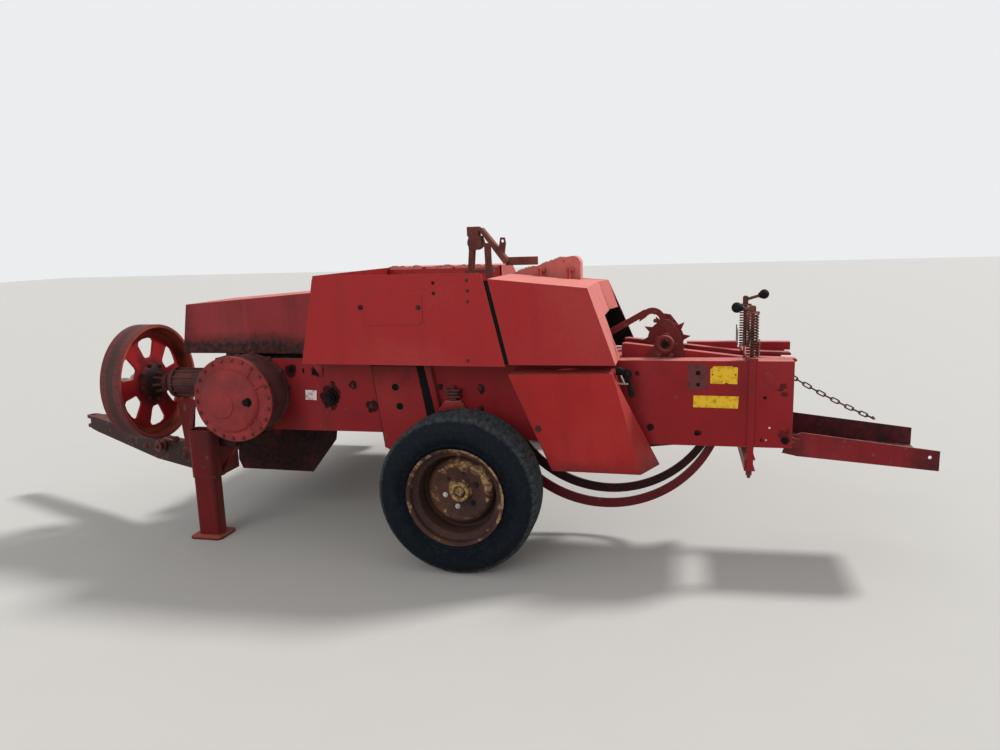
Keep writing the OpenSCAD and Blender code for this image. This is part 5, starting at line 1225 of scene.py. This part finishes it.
# %% Spring tines
bm = bmesh.new()
wire, coil, wound, steps = 0.0030, 0.0172, 0.021, 36
for arm, aside in arms:
    for gap in range(1, bands):
        y = first_band + gap * band_pitch
        start = reel + arm * bar_circle + across * (y - wound)
        part = bmesh.new()
        bmesh.ops.create_circle(part, cap_ends=True, segments=6, radius=wire,
                                matrix=Matrix.Translation(start + aside * coil)
                                @ Vector(arm).to_track_quat("Z", "Y").to_matrix().to_4x4())
        bmesh.ops.spin(part, geom=part.faces[:] + part.edges[:] + part.verts[:], cent=start, axis=across,
                       dvec=across * (wound / steps), angle=math.tau * 3, steps=steps)
        bmesh.ops.recalc_face_normals(part, faces=part.faces)
        joined(bm, part)
        leg = start + across * wound + aside * coil
        bar(bm, leg, leg + arm * 0.096, wire, 8)
        bar(bm, leg + arm * 0.095, leg + arm * 0.126 - aside * 0.012, wire, 8, wire * 0.8)
        bar(bm, start - across * 0.004 + aside * 0.010, start - across * 0.004 + aside * 0.024, 0.0045, 8)
piece("spring_tines", bm, tine_steel, "reel", 50.0)

# %% [markdown]
# At the reel's right end a fixed dish holds the cam track that tips the tines,
# and a pressed guard covers the chain that drives the reel. Both are turned or
# cut from sheet and bolted to the end plate.

# %% Cam dish and chain guard
bm = bmesh.new()
outside = reel + across * 1.6605
turned(bm, [(0.112, 0.0), (0.132, 0.0), (0.132, 0.003), (0.120, 0.004), (0.118, 0.022), (0.108, 0.030),
            (0.040, 0.032), (0.0, 0.032), (0.0, 0.028), (0.104, 0.027), (0.112, 0.020)], outside,
       across, 72)
turned(bm, [(0.0, 0.031), (0.034, 0.031), (0.031, 0.040), (0.026, 0.043), (0.0, 0.044)], outside,
       across, 40)
rivet_circle = 0.125
for a in angles(8, 12):
    bolt(bm, outside + Vector((rivet_circle * math.cos(a), 0.003, rivet_circle * math.sin(a))),
         across, 0.0055, 0.0)
slab(bm, [(-1.345, 0.545), (-1.085, 0.620), (-1.062, 0.608), (-1.055, 0.585), (-1.062, 0.562),
          (-1.085, 0.548), (-1.330, 0.470)], 1.6605, 1.6900, 0.004)
piece("reel_cam_dish", bm, dirty_paint, "pickup", 40.0)

# %% [markdown]
# ## Gearbox flange
# Where the gearbox meets the wall its casting spreads into a flange with
# lugs, each with a bolt. Lugs are short tapered bars set round the casting.

# %% Flange lugs
bm = bmesh.new()
turned(bm, [(0.195, 0.0), (0.213, 0.0), (0.213, 0.012), (0.208, 0.016), (0.195, 0.016)],
       Vector((gear.x, -0.2405, gear.z)), near_side, 72)
lug_circle, foot = 0.206, wall - 0.0005
for a in angles(14, 8):
    lug = Vector((gear.x + lug_circle * math.cos(a), foot, gear.z + lug_circle * math.sin(a)))
    bar(bm, lug, lug + near_side * 0.022, 0.0195, 18, 0.0175)
    bolt(bm, lug + near_side * 0.022, near_side, 0.0088, 0.2)
piece("gearbox_flange", bm, gear_iron, "root")

# %% [markdown]
# ## Rear guard of the knotters
# Behind the drive cover a fixed sheet carries the lid's slope on to the far
# side. Its end plate is lined black inside, painted shade, and it is what the
# dark opening under the lid shows.

# %% Rear guard
bm = bmesh.new()
slab(bm, [(0.5135, 1.3600), (0.6130, 1.3490), (0.6640, 1.2050), (0.6600, 1.2035), (0.6095, 1.3460),
          (0.5135, 1.3565)], 0.1035, 0.2340)
for dot in bm.verts:
    if dot.co.y > 0.2 and dot.co.x > 0.6:
        dot.co.x += 0.038
slab(bm, [(0.5135, 0.9950), (0.5135, 1.3620), (0.6500, 1.3500), (0.7900, 1.0250), (0.7900, 0.9950)],
     0.2345, 0.2370)
piece("knotter_rear_guard", bm, red_paint, "root")
# a black lining inside the end plate: painted shade for the dark opening under the lid
bm = bmesh.new()
slab(bm, [(0.5145, 0.9960), (0.5145, 1.3550), (0.6470, 1.3430), (0.7870, 1.0240), (0.7870, 0.9960)],
     0.2325, 0.2344)
piece("knotter_guard_painted_shade", bm, shade_and_grime_black, "root")

# %% [markdown]
# ## Trip arm and its hub
# The trip arm of the star wheel turns on a hub with a raised ring, and four
# rivets hold its bracket. The hub is turned, the rivets are short bars.

# %% Hub of the star wheel
bm = bmesh.new()
hub_face = Vector((0.955, -0.2065, 1.065))
turned(bm, [(0.0275, -0.004), (0.0275, 0.006), (0.032, 0.008), (0.039, 0.007), (0.042, 0.002),
            (0.043, -0.004)], hub_face, near_side, 40)
for x, z in ((0.905, 1.215), (0.909, 1.176), (0.985, 1.010), (0.925, 1.010)):
    bolt(bm, (x, -0.1985, z), near_side, 0.0075, 0.0)
piece("star_hub", bm, bracket_paint, "root")
# the bore's black disc is painted shade inside it
bm = bmesh.new()
bar(bm, (0.955, -0.2135, 1.065), (0.955, -0.2152, 1.065), 0.0170, 24)
piece("star_hub_bore", bm, shade_and_grime_black, "root")

# %% [markdown]
# ## Drawbar latch
# A pull rod lies along the drawbar's left side in two clips. Below it a small
# drum is bolted on, which takes up the rope. The rod is bars, the drum turned.

# %% Drawbar latch
pin = Vector((-1.560, -0.200, 0.0))
parked = math.radians(24)
along_bar = Vector((-math.cos(parked), math.sin(parked), 0))
left_of_bar = Vector((-math.sin(parked), -math.cos(parked), 0))

def on_drawbar(ahead, left, up):
    return pin + along_bar * ahead + left_of_bar * left + Vector((0, 0, up))

bm = bmesh.new()
bar(bm, on_drawbar(0.300, 0.020, 0.480), on_drawbar(0.640, 0.010, 0.486), 0.0080, 12)
bar(bm, on_drawbar(0.640, 0.010, 0.486), on_drawbar(0.690, -0.010, 0.474), 0.0080, 12)
for ahead in (0.330, 0.520):
    brick(bm, on_drawbar(ahead, 0.020, 0.463) - Vector((0.012, 0.012, 0)),
          on_drawbar(ahead, 0.020, 0.494) + Vector((0.012, 0.012, 0)), 0.002)
turned(bm, [(0.0, -0.020), (0.034, -0.020), (0.036, -0.017), (0.036, -0.013), (0.024, -0.011),
            (0.022, 0.0), (0.024, 0.011), (0.036, 0.013), (0.036, 0.017), (0.034, 0.020), (0.0, 0.020)],
       on_drawbar(0.420, 0.068, 0.436), left_of_bar, 36)
bolt(bm, on_drawbar(0.420, 0.088, 0.436), left_of_bar, 0.011)
bolt(bm, on_drawbar(0.640, 0.046, 0.400), left_of_bar, 0.012)
bolt(bm, on_drawbar(0.200, 0.046, 0.400), left_of_bar, 0.012)
piece("drawbar_latch", bm, linkage_iron, "drawbar")

# %% [markdown]
# ## Chips and smears
# Bare chips shine white where a stone hit the rear wall. Round the chute's
# hinge and along the chute's side old grease has run and dried.

# %% Chips and smears
bm = bmesh.new()
for x, z, size in ((1.434, 0.676, 0.0050), (1.420, 0.617, 0.0045), (1.190, 0.958, 0.0035)):
    bmesh.ops.create_circle(bm, cap_ends=True, segments=7, radius=size,
                            matrix=facing(Vector((x, wall - 0.0006, z)), near_side))
piece("stone_chips", bm, pale, "root")
bm = bmesh.new()
for x, z, radius, wide in ((1.480, 0.872, 0.017, 2.0), (1.492, 0.838, 0.010, 1.6),
                           (1.504, 0.634, 0.030, 0.9)):
    stain(bm, x, z, radius)
    for dot in bm.verts[-corners_of_stain:]:
        dot.co.x = min(1.533, x + (dot.co.x - x) * wide)
bmesh.ops.solidify(bm, geom=bm.faces[:], thickness=-0.0003)
piece("dried_smears", bm, thin_dirt, "root", 80.0)
bm = bmesh.new()
hinge = Vector((1.502, -0.243, 0.618))
stacked(bm, hinge, near_side, (0.0, 0.004, 0.0160, 24), (0.0, 0.010, 0.0120, 6),
        (0.009, 0.017, 0.0065, 14))
bolt(bm, (0.890, -0.2405, 0.666), near_side, 0.0120)
piece("hinge_bolts", bm, grease_black, "root")

# %% [markdown]
# ## Dark joints
# Between the twine box and the lid a dark strip of painted shade closes the
# gap, and a line of old dirt follows the raised panel of the box. The line is a
# rounded outline whose face is inset and emptied.

# %% Gap strip and panel line
bm = bmesh.new()
# painted shade in the gap between the twine box and the lid
slab(bm, [(0.096, 1.395), (0.160, 1.392), (0.262, 0.998), (0.196, 0.998)], -0.4162, -0.4140)
piece("lid_gap_strip", bm, shade_and_grime_black, "root")
bm = bmesh.new()
half_long, half_high, bend = 0.1500, 0.0800, 0.0240
corners = []
for side, rise, first in ((1, 1, 0), (-1, 1, 90), (-1, -1, 180), (1, -1, 270)):
    centre = Vector((-0.480 + side * (half_long - bend), -0.4208, 1.188 + rise * (half_high - bend)))
    for turn in range(0, 91, 15):
        a = math.radians(first + turn)
        corners.append(bm.verts.new(centre + Vector((math.cos(a), 0, math.sin(a))) * (bend + 0.0026)))
plate = bm.faces.new(corners)
bmesh.ops.inset_region(bm, faces=[plate], thickness=0.0024, use_even_offset=True, use_boundary=True)
bmesh.ops.delete(bm, geom=[plate], context="FACES")
bmesh.ops.recalc_face_normals(bm, faces=bm.faces)
bmesh.ops.solidify(bm, geom=bm.faces[:], thickness=0.0005)
piece("panel_line", bm, oil_stain, "root")
